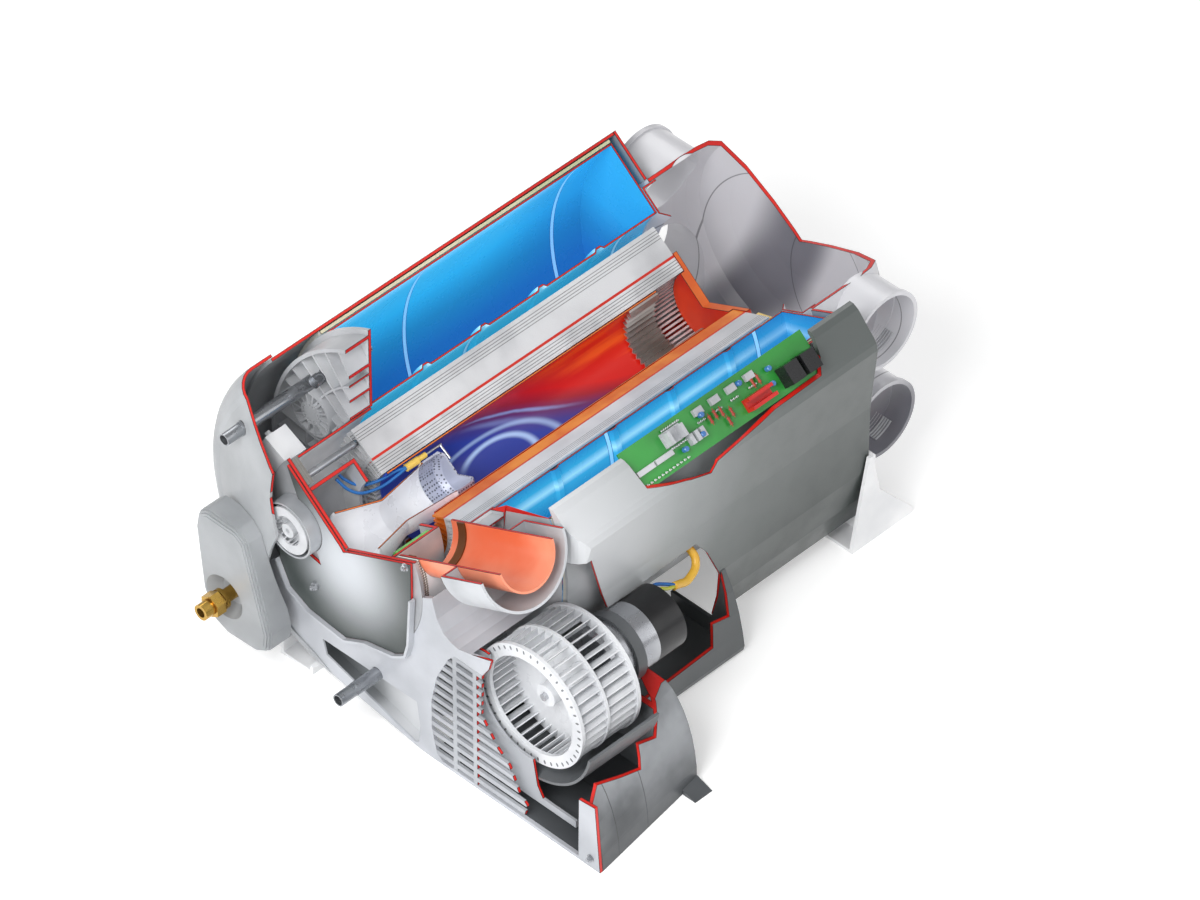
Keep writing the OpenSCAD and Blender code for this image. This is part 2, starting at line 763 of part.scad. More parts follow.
module exhaust_duct() {
  color([0.92, 0.55, 0.42]) home() half_duct(exhaust_r, exhaust_wall, exhaust_start, exhaust_end);
}

module air_intake_socket() {
  color([0.7, 0.72, 0.75]) home() union() {
    half_duct(socket_r, socket_wall, socket_start, socket_end);
    half_duct(socket_r - gap, socket_r - exhaust_r - 2 * gap, socket_start, socket_start + socket_wall);
  }
}

module exhaust_clamp() {
  start = exhaust_start + clamp_w;
  color([0.45, 0.25, 0.08]) home() half_duct(duct_in_r - gap, exhaust_wall * 0.6, start, start + clamp_w);
}

// Gas inlet
gas_shares = [[-0.83, 0.73], [-0.81, 0.83], [-0.76, 0.87], [-0.54, 0.87], [-0.47, 0.83], [-0.32, 0.34],
  [-0.33, 0.24], [-0.42, 0.19], [-0.62, 0.18], [-0.72, 0.22], [-0.79, 0.38]];
gas_side_share = 0.63;
gas_z_share = 0.41;
gas_side = casing_r * gas_side_share;
gas_z = panel_h * gas_z_share;
spigot_r = gas_r - pipe_wall;
collar_len = 8;
nut_len = 9;
recess_r = 3 * gas_r;
recess_depth = 1.6 * gas_r;
edge_steps = 4;

module gas_outline(inset) {
  offset(r = gas_round) offset(delta = -gas_round - inset) polygon(scaled(gas_shares, casing_r, panel_h));
}

// Slices of the cover with its front edge rounded
module gas_cover() {
  color([0.5, 0.52, 0.53]) home() difference() {
    union() {
      for (i = [0 : edge_steps - 1]) let (a0 = 90 * i / edge_steps, a1 = 90 * (i + 1) / edge_steps)
        across(-gas_depth + gas_round * (1 - cos(a0)), -gas_depth + gas_round * (1 - cos(a1)) + over)
          gas_outline(gas_round * (1 - sin((a0 + a1) / 2)));
      across(-gas_depth + gas_round, -cap_dome * 0.5) gas_outline(0);
    }
    along_x(-gas_depth - over, -gas_side, gas_z) cylinder(h = recess_depth + over, r1 = recess_r, r2 = recess_r * 0.6);
    bore_x(-gas_depth, 0, -gas_side, gas_z, spigot_r + gap);
    barrel() rotate_extrude($fn = 96) polygon(concat(cap_line(-gap), [[casing_r, far], [0, far]]));
  }
}

module gas_fitting() {
  nut_start = gas_len - nut_len * 0.78;
  color([0.8, 0.65, 0.3]) home() along_x(-gas_depth - gas_len, -gas_side, gas_z) difference() {
    union() {
      cylinder(h = gas_len + recess_depth, r = spigot_r);
      cylinder(h = collar_len, r = gas_r);
      translate([0, 0, nut_start - nut_len * 0.89]) cylinder(h = nut_len, r = gas_r * 1.5, $fn = 6);
      translate([0, 0, nut_start + nut_len * 0.22]) cylinder(h = nut_len * 0.4, r = gas_r * 1.3);
    }
    translate([0, 0, -over]) cylinder(h = gas_len, r = spigot_r - 1.5 * pipe_wall);
  }
}

// Front housing
// Floor of the channel under the flue, from the opening's corner to the blower
valley_shares = [[0.594, 0.068], [0.628, -0.05], [0.672, -0.115], [0.723, -0.142], [0.777, -0.152],
  [0.865, -0.128], [0.963, -0.095], [1, -0.082]];
// Broken edge of the housing round the wheel
jag_shares = [[-0.471, 0.615], [-0.615, 0.385], [-0.635, -0.4], [-0.329, -0.8], [-0.096, -0.985]];
low_jag_shares = [[0.096, 0.545], [0.25, 0.386], [0.192, 0.073], [1.254, 0.073], [1.267, 1.36], [1.575, 1.4]];
grille_top_shares = [[-1.144, 0.415], [-1.269, 0.277], [-1.5, -0.215], [-1.615, -0.75]];
grille_foot_shares = [[-1.615, 0.69], [-1.519, 0.18], [-1.406, 0.073], [0.192, 0.073], [0.25, 0.386], [0.096, 0.545]];
pocket_shares = [[-0.182, -0.716], [0.479, -0.703], [0.5, -0.85], [0.49, -0.966], [0.466, -0.985], [-0.156, -0.808]];
pillar_boss_share = [0.965, 0.06];

module front_outline() {
  polygon(concat(
    on_axis(window_shares), on_axis(valley_shares), on_wheel(jag_shares), below_wheel(low_jag_shares),
    [[box_side, 0], [box_side * far_foot_share, 0]], on_axis(far_edge_shares)));
}

module grille_outline() {
  polygon(concat(
    on_wheel(grille_top_shares), below_wheel(grille_foot_shares),
    reversed(on_wheel([for (i = [1 : 4]) jag_shares[i]])), on_wheel([[jag_shares[1][0], grille_top_shares[0][1]]])));
}

module front_housing() {
  color([0.76, 0.78, 0.8]) home() difference() {
    union() {
      across(0, box_wall) front_outline();
      across(-rim_depth, over) intersection() {
        difference() {
          offset(delta = box_wall * 0.7) polygon(concat(on_axis(window_shares), [[0, axis_z]]));
          polygon(concat(on_axis(window_shares), [[far, axis_z], [far, far], [-far, far], [-far, axis_z]]));
        }
        front_outline();
      }
      across(box_wall - over, 4 * box_wall) offset(delta = box_wall) polygon(on_axis(pocket_shares));
      across(box_wall - over, cover_x - 2 * gap) polygon(concat(
        on_axis(valley_shares), reversed([for (p = on_axis(valley_shares)) [p[0] - gap, p[1] - box_wall]])));
    }
    bore_x(box_wall + gap, tank_x, wheel_side, wheel_z, wheel_r + box_wall);
    across(-over, 3 * box_wall) polygon(on_axis(pocket_shares));
    across(-over, box_wall + over) grille_outline();
    across(-over, box_wall + over) translate([box_side * pillar_boss_share[0], panel_h * pillar_boss_share[1]])
      circle(r = box_wall);
    bore_x(0, box_wall, 0, axis_z, flange_r + gap, $fn = 96);
    bore_x(-rim_depth, 4 * box_wall, cold_side, cold_z, pipe_out_r + gap);
  }
}

bar_shares = [0.42, 0.5];
grille_rise_share = 0.72;
slat_share = 0.45;

module intake_grille() {
  pitch = panel_h * grille_rise_share / slat_count;
  color([0.7, 0.72, 0.74]) home() across(gap, box_wall - gap) intersection() {
    grille_outline();
    union() {
      for (i = [0 : slat_count - 1]) translate([0, box_wall + pitch * (i + 0.4)])
        square([box_side, pitch * slat_share]);
      for (share = bar_shares) translate([box_side * share, 0]) square([pitch * slat_share, panel_h]);
    }
  }
}

cheek_top_shares = [[-1.346, 0.492], [-0.798, 0.585], [-0.7, 0.585], [-0.7, 0.308], [0.14, -0.8]];
cheek_low_shares = [[0.231, 0.655], [0.338, 0.436], [0.981, 0.436], [0.981, 0.29], [-1.346, 0.29]];
inlet_share = 0.86;

module fan_cheek() {
  color([0.62, 0.65, 0.68]) home() difference() {
    across(cheek_x, cheek_x + cheek_t) polygon(concat(on_wheel(cheek_top_shares), below_wheel(cheek_low_shares)));
    bore_x(cheek_x, cheek_x + cheek_t, wheel_side, wheel_z, wheel_r * inlet_share);
  }
}

scroll_start = -80;
scroll_turn = 118;
scroll_share = 0.87;

module fan_scroll() {
  x0 = cheek_x + cheek_t + gap;
  color([0.35, 0.37, 0.39]) home() along_x(x0, wheel_side, wheel_z) rotate(scroll_start)
    rotate_extrude(angle = scroll_turn) translate([scroll_r, 0]) square([cheek_t, (back_plate_x - x0) * scroll_share]);
}

// Near wall of the blower housing, from the floor up to its shoulder, drawn in towards the rear
wall_centre_share = 0.59;
wall_rise_share = 0.833;
wall_end_share = 0.15;
wall_cut_shares = [[-0.1, 0.55], [0.06, 0.55], [0.16, 0.633], [0.52, 0.51], [0.576, 0.657], [0.72, 0.615],
  [0.856, 0.79], [1.1, 0.86], [1.1, 2], [-0.1, 2]];
foot_flare_shares = [[0.85, 0], [0.995, 0], [0.93, 0.07], [0.88, 0.3]];

function box_line(inset, lean) = let (
    centre = wheel_side + wheel_r * wall_centre_share,
    reach = (box_side - centre) * (1 - lean))
  [for (a = [0 : 10 : 80]) [centre + (reach - inset) * cos(a), (wheel_z * wall_rise_share - inset) * sin(a)]];

module box_body(x0, x1, inset) {
  slice = 2 * gap;
  floor_z = inset > 0 ? box_wall : 0;
  hull() {
    across(x0, x0 + slice) polygon(concat(
      [for (p = box_line(inset, 0)) [p[0], max(p[1], floor_z)]],
      [[wheel_side, wheel_z * wall_rise_share], [wheel_side, floor_z]]));
    across(x1 - slice, x1) polygon(concat(
      [for (p = box_line(inset, 2 * wall_end_share)) [p[0], max(p[1], floor_z)]],
      [[wheel_side, wheel_z * wall_rise_share], [wheel_side, floor_z]]));
  }
}

module fan_housing() {
  floor_side = box_side * far_foot_share + 2 * box_wall;
  color([0.66, 0.68, 0.7]) home() difference() {
    union() {
      difference() {
        box_body(box_wall + gap, box_len, 0);
        box_body(box_wall, box_len + over, box_wall);
        across(0, far) translate([wheel_side - over, -over]) square([box_wall, far]);
      }
      across(box_wall + gap, box_len) translate([floor_side, 0]) square([wheel_side + 2 * box_wall - floor_side, box_wall]);
      across(box_len - 6 * box_wall, box_len) polygon(scaled(foot_flare_shares, box_side, panel_h * 0.5));
      across(back_plate_x, back_plate_x + box_wall) polygon(concat(
        [[floor_side, box_wall / 2]], box_line(box_wall * 0.5, 1.6 * wall_end_share), [[floor_side + box_wall, wheel_z]]));
    }
    bore_x(back_plate_x, box_len, wheel_side, wheel_z, motor_r + gap);
    sideways(wheel_side, box_side + over) polygon(scaled(wall_cut_shares, box_len, wheel_z));
    barrel_room(0, box_len);
    across(back_plate_x - over, box_len + over) translate([wheel_side - wheel_r, wheel_z * 0.85]) square([far, far]);
  }
}

// Warm air blower
module wheel_place(x) {
  along_x(x, wheel_side, wheel_z) children();
}

blade_curve = 0.45;

function blade_edge(r0, r1, offset_y) = [for (i = [0 : 3]) let (s = i / 3)
  [r0 + (r1 - r0) * s, offset_y + (r1 - r0) * blade_curve * s * s]];

module fan_wheel() {
  color([0.88, 0.89, 0.9]) home() wheel_place(wheel_x) difference() {
    union() {
      for (x = [0, wheel_len - ring_t]) translate([0, 0, x]) linear_extrude(ring_t) ring(wheel_r, wheel_r - blade_in_r);
      translate([0, 0, ring_t * 0.5]) linear_extrude(wheel_len - ring_t) for (i = [0 : wheel_blades - 1])
        rotate(360 * i / wheel_blades) polygon(concat(
          blade_edge(blade_in_r + gap, wheel_r - 5 * gap, blade_t / 2),
          reversed(blade_edge(blade_in_r + gap, wheel_r - 5 * gap, -blade_t / 2))));
      translate([0, 0, wheel_len * 0.45]) cylinder(h = ring_t * 0.7, r = wheel_r - 2 * gap);
      translate([0, 0, wheel_len * 0.25]) cylinder(h = wheel_len * 0.5, r = hub_r);
    }
    translate([0, 0, -over]) cylinder(h = wheel_len + 2 * over, r = shaft_r + bearing_play);
  }
}

shaft_in_motor = motor_len * 0.6;

module fan_shaft() {
  color([0.75, 0.76, 0.78]) home() wheel_place(wheel_x + wheel_len * 0.2)
    cylinder(h = wheel_len * 0.8 + wheel_gap + shaft_in_motor, r = shaft_r);
}

module fan_motor() {
  color([0.8, 0.81, 0.83]) home() wheel_place(motor_x) difference() {
    cylinder(h = motor_len, r = motor_r);
    translate([0, 0, -over]) cylinder(h = shaft_in_motor + over + shaft_r, r = shaft_r + bearing_play);
  }
}

module motor_end_cap() {
  color([0.12, 0.12, 0.13]) home() wheel_place(motor_end_x) cylinder(h = motor_cap_len, r = motor_r);
}

module motor_bracket() {
  x0 = back_plate_x + box_wall + gap;
  leg_w = motor_r * 1.2;
  color([0.35, 0.36, 0.38]) home() across(x0, x0 + 3 * box_wall) difference() {
    union() {
      translate([wheel_side, wheel_z]) circle(r = motor_r + box_wall);
      translate([wheel_side - leg_w / 2, box_wall + gap]) square([leg_w, wheel_z - motor_r]);
    }
    translate([wheel_side, wheel_z]) circle(r = motor_r + gap);
  }
}

module motor_cable() {
  color([0.85, 0.65, 0.2]) home() wheel_place(motor_end_x + motor_cap_len + gap)
    translate([-motor_r * 0.5, motor_r * 0.2, 0]) cylinder(h = motor_cap_len * 0.7, r = cable_r);
}

// Lower housing under the electronics cover
lower_x = box_len + gap;
lower_end_x = lower_x + lower_len;
lower_shares = [[-0.6, 0.95], [-0.47, 0.86], [-0.354, 0.75], [-0.19, 0.58], [-0.077, 0.4], [0, 0.22], [0.042, 0.083],
  [0.02, 0.035], [-0.033, 0.02], [-1.346, 0.02]];
lower_cut_shares = [[-0.1, 0.21], [0.33, 0.23], [0.747, 0.25], [0.78, 0.44], [0.92, 0.41], [0.965, 0.72], [0.93, 1.1],
  [-0.1, 1.1]];

function lower_line(inset) = [for (p = lower_shares)
  [wheel_side + p[0] * wheel_r - inset, max(p[1] * wheel_z, inset > 0 ? inset : 0)]];

module lower_housing() {
  color([0.4, 0.42, 0.43]) home() difference() {
    across(lower_x, lower_end_x) polygon(concat(lower_line(0), [[casing_r * 0.6, axis_z]]));
    across(lower_x - over, lower_end_x - box_wall) polygon(concat(
      lower_line(box_wall), [[0, box_wall], [0, axis_z + over]]));
    sideways(cover_side * 0.8, box_side) polygon([for (p = lower_cut_shares) [lower_x + p[0] * lower_len, p[1] * wheel_z]]);
    barrel_room(lower_x, lower_end_x);
    across(lower_x - over, lower_end_x + over) offset(delta = gap) polygon(concat(
      cover_line(0), [[0, axis_z * cover_low_shares[len(cover_low_shares) - 1][1]], [0, cover_top]]));
  }
}

// Electronics
// Outline of the cover over the barrel's axis, from shares of its reach and its rise
cover_top_shares = [[0.8, 1.02], [0.84, 1.02], [0.87, 0.98], [0.975, 0.73], [0.99, 0.68], [1, 0.6], [0.99, 0.383]];
// Outline below the axis, from shares of the reach and of the axis's height
cover_low_shares = [[0.962, 0.888], [0.956, 0.479], [0.93, 0.28], [0.886, 0.114]];
// Rounded front corner of the cover as seen from above, from its side to its front wall
front_corner = 20;
// Opening over the circuit board, along the board and up the cover
board_window_shares = [[-0.01, 1.1], [0.02, 0.77], [0.2, 0.62], [0.34, 0.48], [0.37, 0.6], [0.7, 0.71], [0.96, 0.72],
  [1, 0.85], [1.03, 1.1]];
// Opening over the blower motor, along the cover and up to its lower edge
motor_window_shares = [[-0.1, -0.1], [-0.1, 1.2], [0.05, 1.2], [0.12, 0.77], [0.41, 0.785], [0.452, 0.67], [0.5, 0.45],
  [0.52, -0.1]];

function cover_line(inset) = concat(
  [for (p = cover_top_shares) [p[0] * cover_side - inset, axis_z + p[1] * cover_rise - inset]],
  [for (p = cover_low_shares) [p[0] * cover_side - inset, p[1] * axis_z]]);

module cover_body(inset) {
  x0 = cover_x + inset;
  x1 = casing_len - inset;
  r = front_corner - inset;
  side = cover_side - inset + over;
  intersection() {
    across(x0, x1) polygon(concat(cover_line(inset), [
      [0, axis_z * cover_low_shares[len(cover_low_shares) - 1][1]], [0, axis_z + cover_rise - inset]]));
    translate([0, 0, -over]) linear_extrude(far) polygon(concat(
      [[x1, over], [x0, over]],
      [for (a = [0 : 15 : 90]) [x0 + r * (1 - cos(a)), -side + r * (1 - sin(a))]],
      [[x1, -side]]));
  }
}

module electronics_cover() {
  cover_len = casing_len - cover_x;
  color([0.45, 0.48, 0.47]) home() difference() {
    cover_body(0);
    difference() {
      cover_body(cover_wall);
      across(0, far) square([far, 2 * cover_wall]);
    }
    sideways(cover_side * 0.7, cover_side + over) polygon([for (p = board_window_shares)
      [board_x + p[0] * board_len, axis_z + p[1] * cover_rise]]);
    sideways(cover_side * 0.45, cover_side + over) polygon([for (p = motor_window_shares)
      [cover_x + p[0] * cover_len, p[1] * axis_z]]);
    barrel_room(cover_x, casing_len);
    across(cover_x - over, casing_len + over) square([cover_side * 0.5, far]);
    across(cover_x - over, casing_len - 2 * cover_wall) translate([0, -over]) square([far, over + axis_z * 0.12]);
  }
}

// Place of the circuit board, with x along the barrel, y down its slope and z out of its face
board_x = cover_x + cover_wall + 2 * casing_r * 0.243;
board_side_share = 0.836;
board_rise_share = 1.01;
board_side = casing_r * board_side_share;
board_z = axis_z + cover_rise * board_rise_share;
board_slope = 42;

module board_place(x, y, z) {
  translate([board_x, -board_side, board_z]) rotate([board_slope, 0, 0]) translate([x, -y, z]) children();
}

// A block on the board, from shares of the board's length and width and a height
module on_board(place, size, z0) {
  board_place(board_len * place[0], board_w * (place[1] + size[1]), z0)
    cube([board_len * size[0], board_w * size[1], board_w * size[2]]);
}

module circuit_board() {
  color([0.18, 0.6, 0.22]) home() board_place(0, board_w, 0) cube([board_len, board_w, board_t]);
}

relay_share = [0.07, 0.46, 0.4];

module relays() {
  color([0.1, 0.1, 0.1]) home() for (x = [0.8, 0.89]) on_board([x, 0.42], relay_share, board_t + gap);
}

chip_shares = [0.38, 0.47, 0.56, 0.66];

module board_parts() {
  color([0.75, 0.76, 0.78]) home() union() {
    on_board([0.2, 0.16], [0.1, 0.34, 0.06], board_t);
    on_board([0.205, 0.18], [0.015, 0.3, 0.3], board_t);
    on_board([0.275, 0.18], [0.015, 0.3, 0.3], board_t);
    for (x = chip_shares) on_board([x, 0.12], [0.045, 0.16, 0.1], board_t);
    for (x = [0.02, 0.12]) on_board([x, 0.55], [0.09, 0.12, 0.1], board_t);
    for (x = [0.3, 0.33, 0.36]) on_board([x, 0.5], [0.018, 0.24, 0.16], board_t);
  }
}

module fuse_holder() {
  color([0.8, 0.15, 0.12]) home() union() {
    on_board([0.6, 0.56], [0.13, 0.3, 0.1], board_t);
    on_board([0.6, 0.56], [0.13, 0.08, 0.3], board_t);
    on_board([0.6, 0.78], [0.13, 0.08, 0.3], board_t);
  }
}

module board_brackets() {
  depth = board_w * 0.32;
  color([0.6, 0.62, 0.64]) home() difference() {
    for (x = [0.05, 0.9]) board_place(board_len * x, board_w * 0.7, -depth - gap)
      cube([board_len * 0.05, board_w * 0.25, depth]);
    across(board_x, board_x + board_len) translate([0, axis_z]) circle(r = shell_r + gap, $fn = 96);
  }
}

// Warm air distributor behind the barrel
pot_shares = [[1, 0], [1, 0.6], [0.985, 0.75], [0.93, 0.86], [0.68, 0.94], [0.35, 0.985], [0.1, 1], [0, 1]];
near_x = casing_len + pot_len * 0.53;
far_x = casing_len + pot_len * 0.41;
near_upper_z = axis_z + pot_r * 0.108;
near_lower_z = axis_z - pot_r * 0.755;
far_upper_z = axis_z + pot_r * 0.324;
far_lower_z = axis_z - pot_r * 0.45;
stub_start_share = 0.4;

function pot_line(inset) = [for (p = pot_shares)
  [max(p[0] * pot_r - inset, 0), casing_len + p[1] * pot_len - (p[1] > 0 ? inset : over)]];

module pot_body(inset) {
  barrel() rotate_extrude($fn = 96) polygon(concat([[0, casing_len - (inset > 0 ? over : 0)]],
    [for (p = pot_line(inset)) [p[0], max(p[1], casing_len - (inset > 0 ? over : 0))]]));
}

// A cylinder that runs sideways between two reaches, with the far side negative
module side_cylinder(x, side0, side1, z, r) {
  translate([x, -side0, z]) rotate([side1 > side0 ? 90 : -90, 0, 0]) cylinder(h = abs(side1 - side0), r = r);
}

// The outlets as [x, height, reach], with the far side negative
outlets = [[near_x, near_upper_z, near_reach], [near_x, near_lower_z, near_reach],
  [far_x, far_upper_z, -far_reach], [far_x, far_lower_z, -far_reach]];

module air_distributor() {
  seat_r = outlet_r - outlet_wall;
  start = pot_r * stub_start_share;
  color([0.72, 0.73, 0.76]) home() difference() {
    union() {
      difference() {
        pot_body(0);
        cut_sector(casing_len - over, max_x + over);
      }
      for (o = outlets) let (way = sign(o[2])) {
        side_cylinder(o[0], way * start, o[2], o[1], outlet_r);
        side_cylinder(o[0], o[2] - way * 2 * outlet_wall, o[2], o[1], outlet_r + outlet_bead);
      }
    }
    pot_body(pot_wall);
    for (o = outlets) let (way = sign(o[2])) {
      side_cylinder(o[0], way * (start + outlet_wall), o[2], o[1], seat_r - outlet_stop);
      side_cylinder(o[0], o[2] - way * outlet_seat, o[2] + way * over, o[1], seat_r);
    }
  }
}

module flow_ring() {
  t = tank_wall;
  x0 = tank_end_x + 3 * gap;
  collar_r = pot_r - pot_wall - gap;
  color([0.78, 0.78, 0.82]) home() kept_ring([
    [fin_tip_r - t, casing_len], [fin_tip_r, casing_len], [fin_tip_r + 4 * t, x0 + t], [collar_r - t, x0 + t],
    [collar_r - t, casing_len + 4 * t], [collar_r, casing_len + 4 * t], [collar_r, x0], [fin_tip_r + 4 * t, x0]]);
}

// Feet
foot_side = casing_r * 0.257;
near_foot_reach = cover_side - foot_t + gap;
far_foot_reach = casing_r - 3 * gap;
rear_foot_x = casing_len - rear_foot_len * 0.3;
gusset_share = 0.55;

module front_foot() {
  color([0.88, 0.88, 0.88]) home() difference() {
    union() {
      translate([0, foot_side, 0]) cube([foot_len, foot_w, foot_t]);
      for (y = [0, foot_w - foot_t]) translate([0, foot_side + y, 0])
        cube([foot_len, foot_t, 2 * foot_t + 4 * ground_gap]);
    }
    barrel_room(0, foot_len);
  }
}

module rear_feet() {
  end_x = rear_foot_x + rear_foot_len;
  plate_x = casing_len + gap;
  color([0.85, 0.85, 0.85]) home() union() {
    translate([rear_foot_x, -near_foot_reach, 0]) cube([rear_foot_len, foot_w, foot_t]);
    sideways(near_foot_reach - foot_t, near_foot_reach) polygon([
      [rear_foot_x, 0], [end_x, 0], [end_x, foot_t * 2], [plate_x + 3 * foot_t, rear_foot_h * gusset_share],
      [casing_len, rear_foot_h], [casing_len - foot_t, rear_foot_h], [rear_foot_x, foot_t * 2]]);
    translate([plate_x, -near_foot_reach, 0]) cube([foot_t, foot_w, rear_foot_h]);
    translate([rear_foot_x, far_foot_reach - foot_w, 0]) cube([rear_foot_len, foot_w, foot_t]);
    translate([plate_x, far_foot_reach - foot_w, 0]) cube([foot_t, foot_w, rear_foot_h]);
  }
}

module housing_screws() {
  place = on_axis([screw_place_share])[0];
  color([0.7, 0.7, 0.72]) home() across(-gap - cover_t * 1.8, -gap - cover_t) translate(place)
    circle(r = cover_t * 1.2);
}

casing_shell();
casing_front_cap();
casing_rear_plate();
insulation_jacket();
tank_outer_wall();
tank_inner_wall();
tank_rear_ring();
tank_front_cap();
tank_neck();
warm_water_pipe();
vent_pipe();
cold_water_pipe();
heat_exchanger();
combustion_tube();
chamber_rear_wall();
turbulator_ring();
heat_sensor();
burner_cover();
burner_flange();
burner_gasket();
burner_cup();
mixing_tube();
burner_head();
electrode_insulator();
electrode_rod();
ignition_cable();
gas_pipe();
combustion_air_housing();
combustion_impeller();
temperature_switch();
exhaust_duct();
air_intake_socket();
exhaust_clamp();
gas_cover();
gas_fitting();
front_housing();
intake_grille();
fan_cheek();
fan_scroll();
fan_housing();
fan_wheel();
fan_shaft();
fan_motor();
motor_end_cap();
motor_bracket();
motor_cable();
lower_housing();
electronics_cover();
circuit_board();
relays();
board_parts();
fuse_holder();
board_brackets();
air_distributor();
flow_ring();
front_foot();
rear_feet();
housing_screws();
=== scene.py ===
"""Dresses the cutaway caravan heater, from its barrel and burner to its warm air outlets."""

import logging
import math
from dataclasses import dataclass, field, fields
from enum import Enum
from functools import cache
from typing import Callable, Sequence

import bmesh
import bpy
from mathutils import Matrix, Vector


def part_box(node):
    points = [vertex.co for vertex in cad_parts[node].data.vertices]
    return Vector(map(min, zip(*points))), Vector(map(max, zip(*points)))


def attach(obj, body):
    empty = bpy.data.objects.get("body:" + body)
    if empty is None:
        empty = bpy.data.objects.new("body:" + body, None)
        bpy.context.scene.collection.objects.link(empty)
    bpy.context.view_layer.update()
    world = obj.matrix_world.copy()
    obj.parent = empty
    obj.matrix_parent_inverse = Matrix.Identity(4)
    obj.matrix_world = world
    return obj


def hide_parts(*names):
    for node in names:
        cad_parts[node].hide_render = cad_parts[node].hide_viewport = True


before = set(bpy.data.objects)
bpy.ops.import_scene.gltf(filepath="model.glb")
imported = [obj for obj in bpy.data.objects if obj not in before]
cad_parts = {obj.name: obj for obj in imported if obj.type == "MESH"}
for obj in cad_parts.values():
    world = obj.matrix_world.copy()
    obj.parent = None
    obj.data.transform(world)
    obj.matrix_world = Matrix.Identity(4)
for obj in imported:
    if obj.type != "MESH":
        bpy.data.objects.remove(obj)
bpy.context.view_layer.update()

log = logging.getLogger("heater")
MM = 0.001
ROOT = "heater"
BLOWER = "blower_wheel"
ALONG = Vector((1, 0, 0))
ACROSS = Vector((0, 1, 0))
FRONTWARD = Vector((-1, 0, 0))
NEARWARD = Vector((0, -1, 0))
SQUARE_ON = 0.99  # part of a direction from which a face looks straight that way
EDGE_ON = 0.1  # part of a direction up to which a face stands edge-on to it
UPRIGHT = 1e-4  # length under which a tube's side has to be chosen anew
COAT_ROUGHNESS = 0.15
HANDLING = 0.12  # how much roughness changes with handling marks
Colour = tuple[float, float, float]
Stops = Sequence[tuple[float, Colour]]
FaceTest = Callable[[Vector, Vector], bool]


@cache
def box(node: str) -> tuple[Vector, Vector]:
    """Lowest and highest corners of a CAD node, read once."""
    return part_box(node)


def front_of(node: str, back: float = 0.0) -> Vector:
    """Middle of a CAD node's front end, moved back by a distance."""
    low, high = box(node)
    return Vector((low.x + back, (low.y + high.y) / 2, (low.z + high.z) / 2))


def srgb(red: int, green: int, blue: int) -> Colour:
    """Turns a colour as a screen shows it into the linear one that shaders use.

    Args:
        red: Red from 0 to 255.
        green: Green from 0 to 255.
        blue: Blue from 0 to 255.

    Returns:
        The linear colour.
    """
    def linear(value: float) -> float:
        """One channel made linear, with the numbers of the screen colour standard."""
        return value / 12.92 if value <= 0.04045 else ((value + 0.055) / 1.055) ** 2.4

    return linear(red / 255), linear(green / 255), linear(blue / 255)


class Wire:
    """A value socket of a material's tree that can be used in plain Python maths."""

    def __init__(self, tree: "MaterialTree", socket: bpy.types.NodeSocket) -> None:
        """Keeps the tree and the socket that gives the value."""
        self.tree = tree
        self.socket = socket

    def maths(self, operation: str, *others: "Wire | float") -> "Wire":
        """Adds a Math node.

        Args:
            operation: The node's operation.
            others: The values that follow this one.

        Returns:
            The node's result.
        """
        return self.tree.maths(operation, self, *others)

    def __add__(self, other: "Wire | float") -> "Wire":
        """Sum."""
        return self.maths("ADD", other)

    __radd__ = __add__

    def __sub__(self, other: "Wire | float") -> "Wire":
        """Difference."""
        return self.maths("SUBTRACT", other)

    def __rsub__(self, other: float) -> "Wire":
        """Difference from a number."""
        return self.tree.maths("SUBTRACT", other, self)

    def __mul__(self, other: "Wire | float") -> "Wire":
        """Product."""
        return self.maths("MULTIPLY", other)

    __rmul__ = __mul__

    def __truediv__(self, other: "Wire | float") -> "Wire":
        """Quotient."""
        return self.maths("DIVIDE", other)

    def __abs__(self) -> "Wire":
        """Size without its sign."""
        return self.maths("ABSOLUTE")

    def below(self, limit: "Wire | float") -> "Wire":
        """One where the value is under a limit, else zero."""
        return self.maths("LESS_THAN", limit)

    def above(self, limit: "Wire | float") -> "Wire":
        """One where the value is over a limit, else zero."""
        return self.maths("GREATER_THAN", limit)

    def between(self, low: float, high: float) -> "Wire":
        """One where the value lies between two limits, else zero."""
        return self.above(low) * self.below(high)

    def ease(self, low: float, high: float) -> "Wire":
        """Runs smoothly from zero at low to one at high, which may be the smaller.

        Args:
            low: Where the result is zero.
            high: Where the result is one.

        Returns:
            The eased value.
        """
        made = self.tree.node("ShaderNodeMapRange", {"interpolation_type": "SMOOTHSTEP"},
                              {"Value": self, "From Min": low, "From Max": high})
        return Wire(self.tree, made.outputs["Result"])

    def waves(self) -> "Wire":
        """Sine of the value."""
        return self.maths("SINE")

    def hypot(self, other: "Wire") -> "Wire":
        """Length of the way whose two square parts are this value and another."""
        return (self * self + other * other).maths("SQRT")


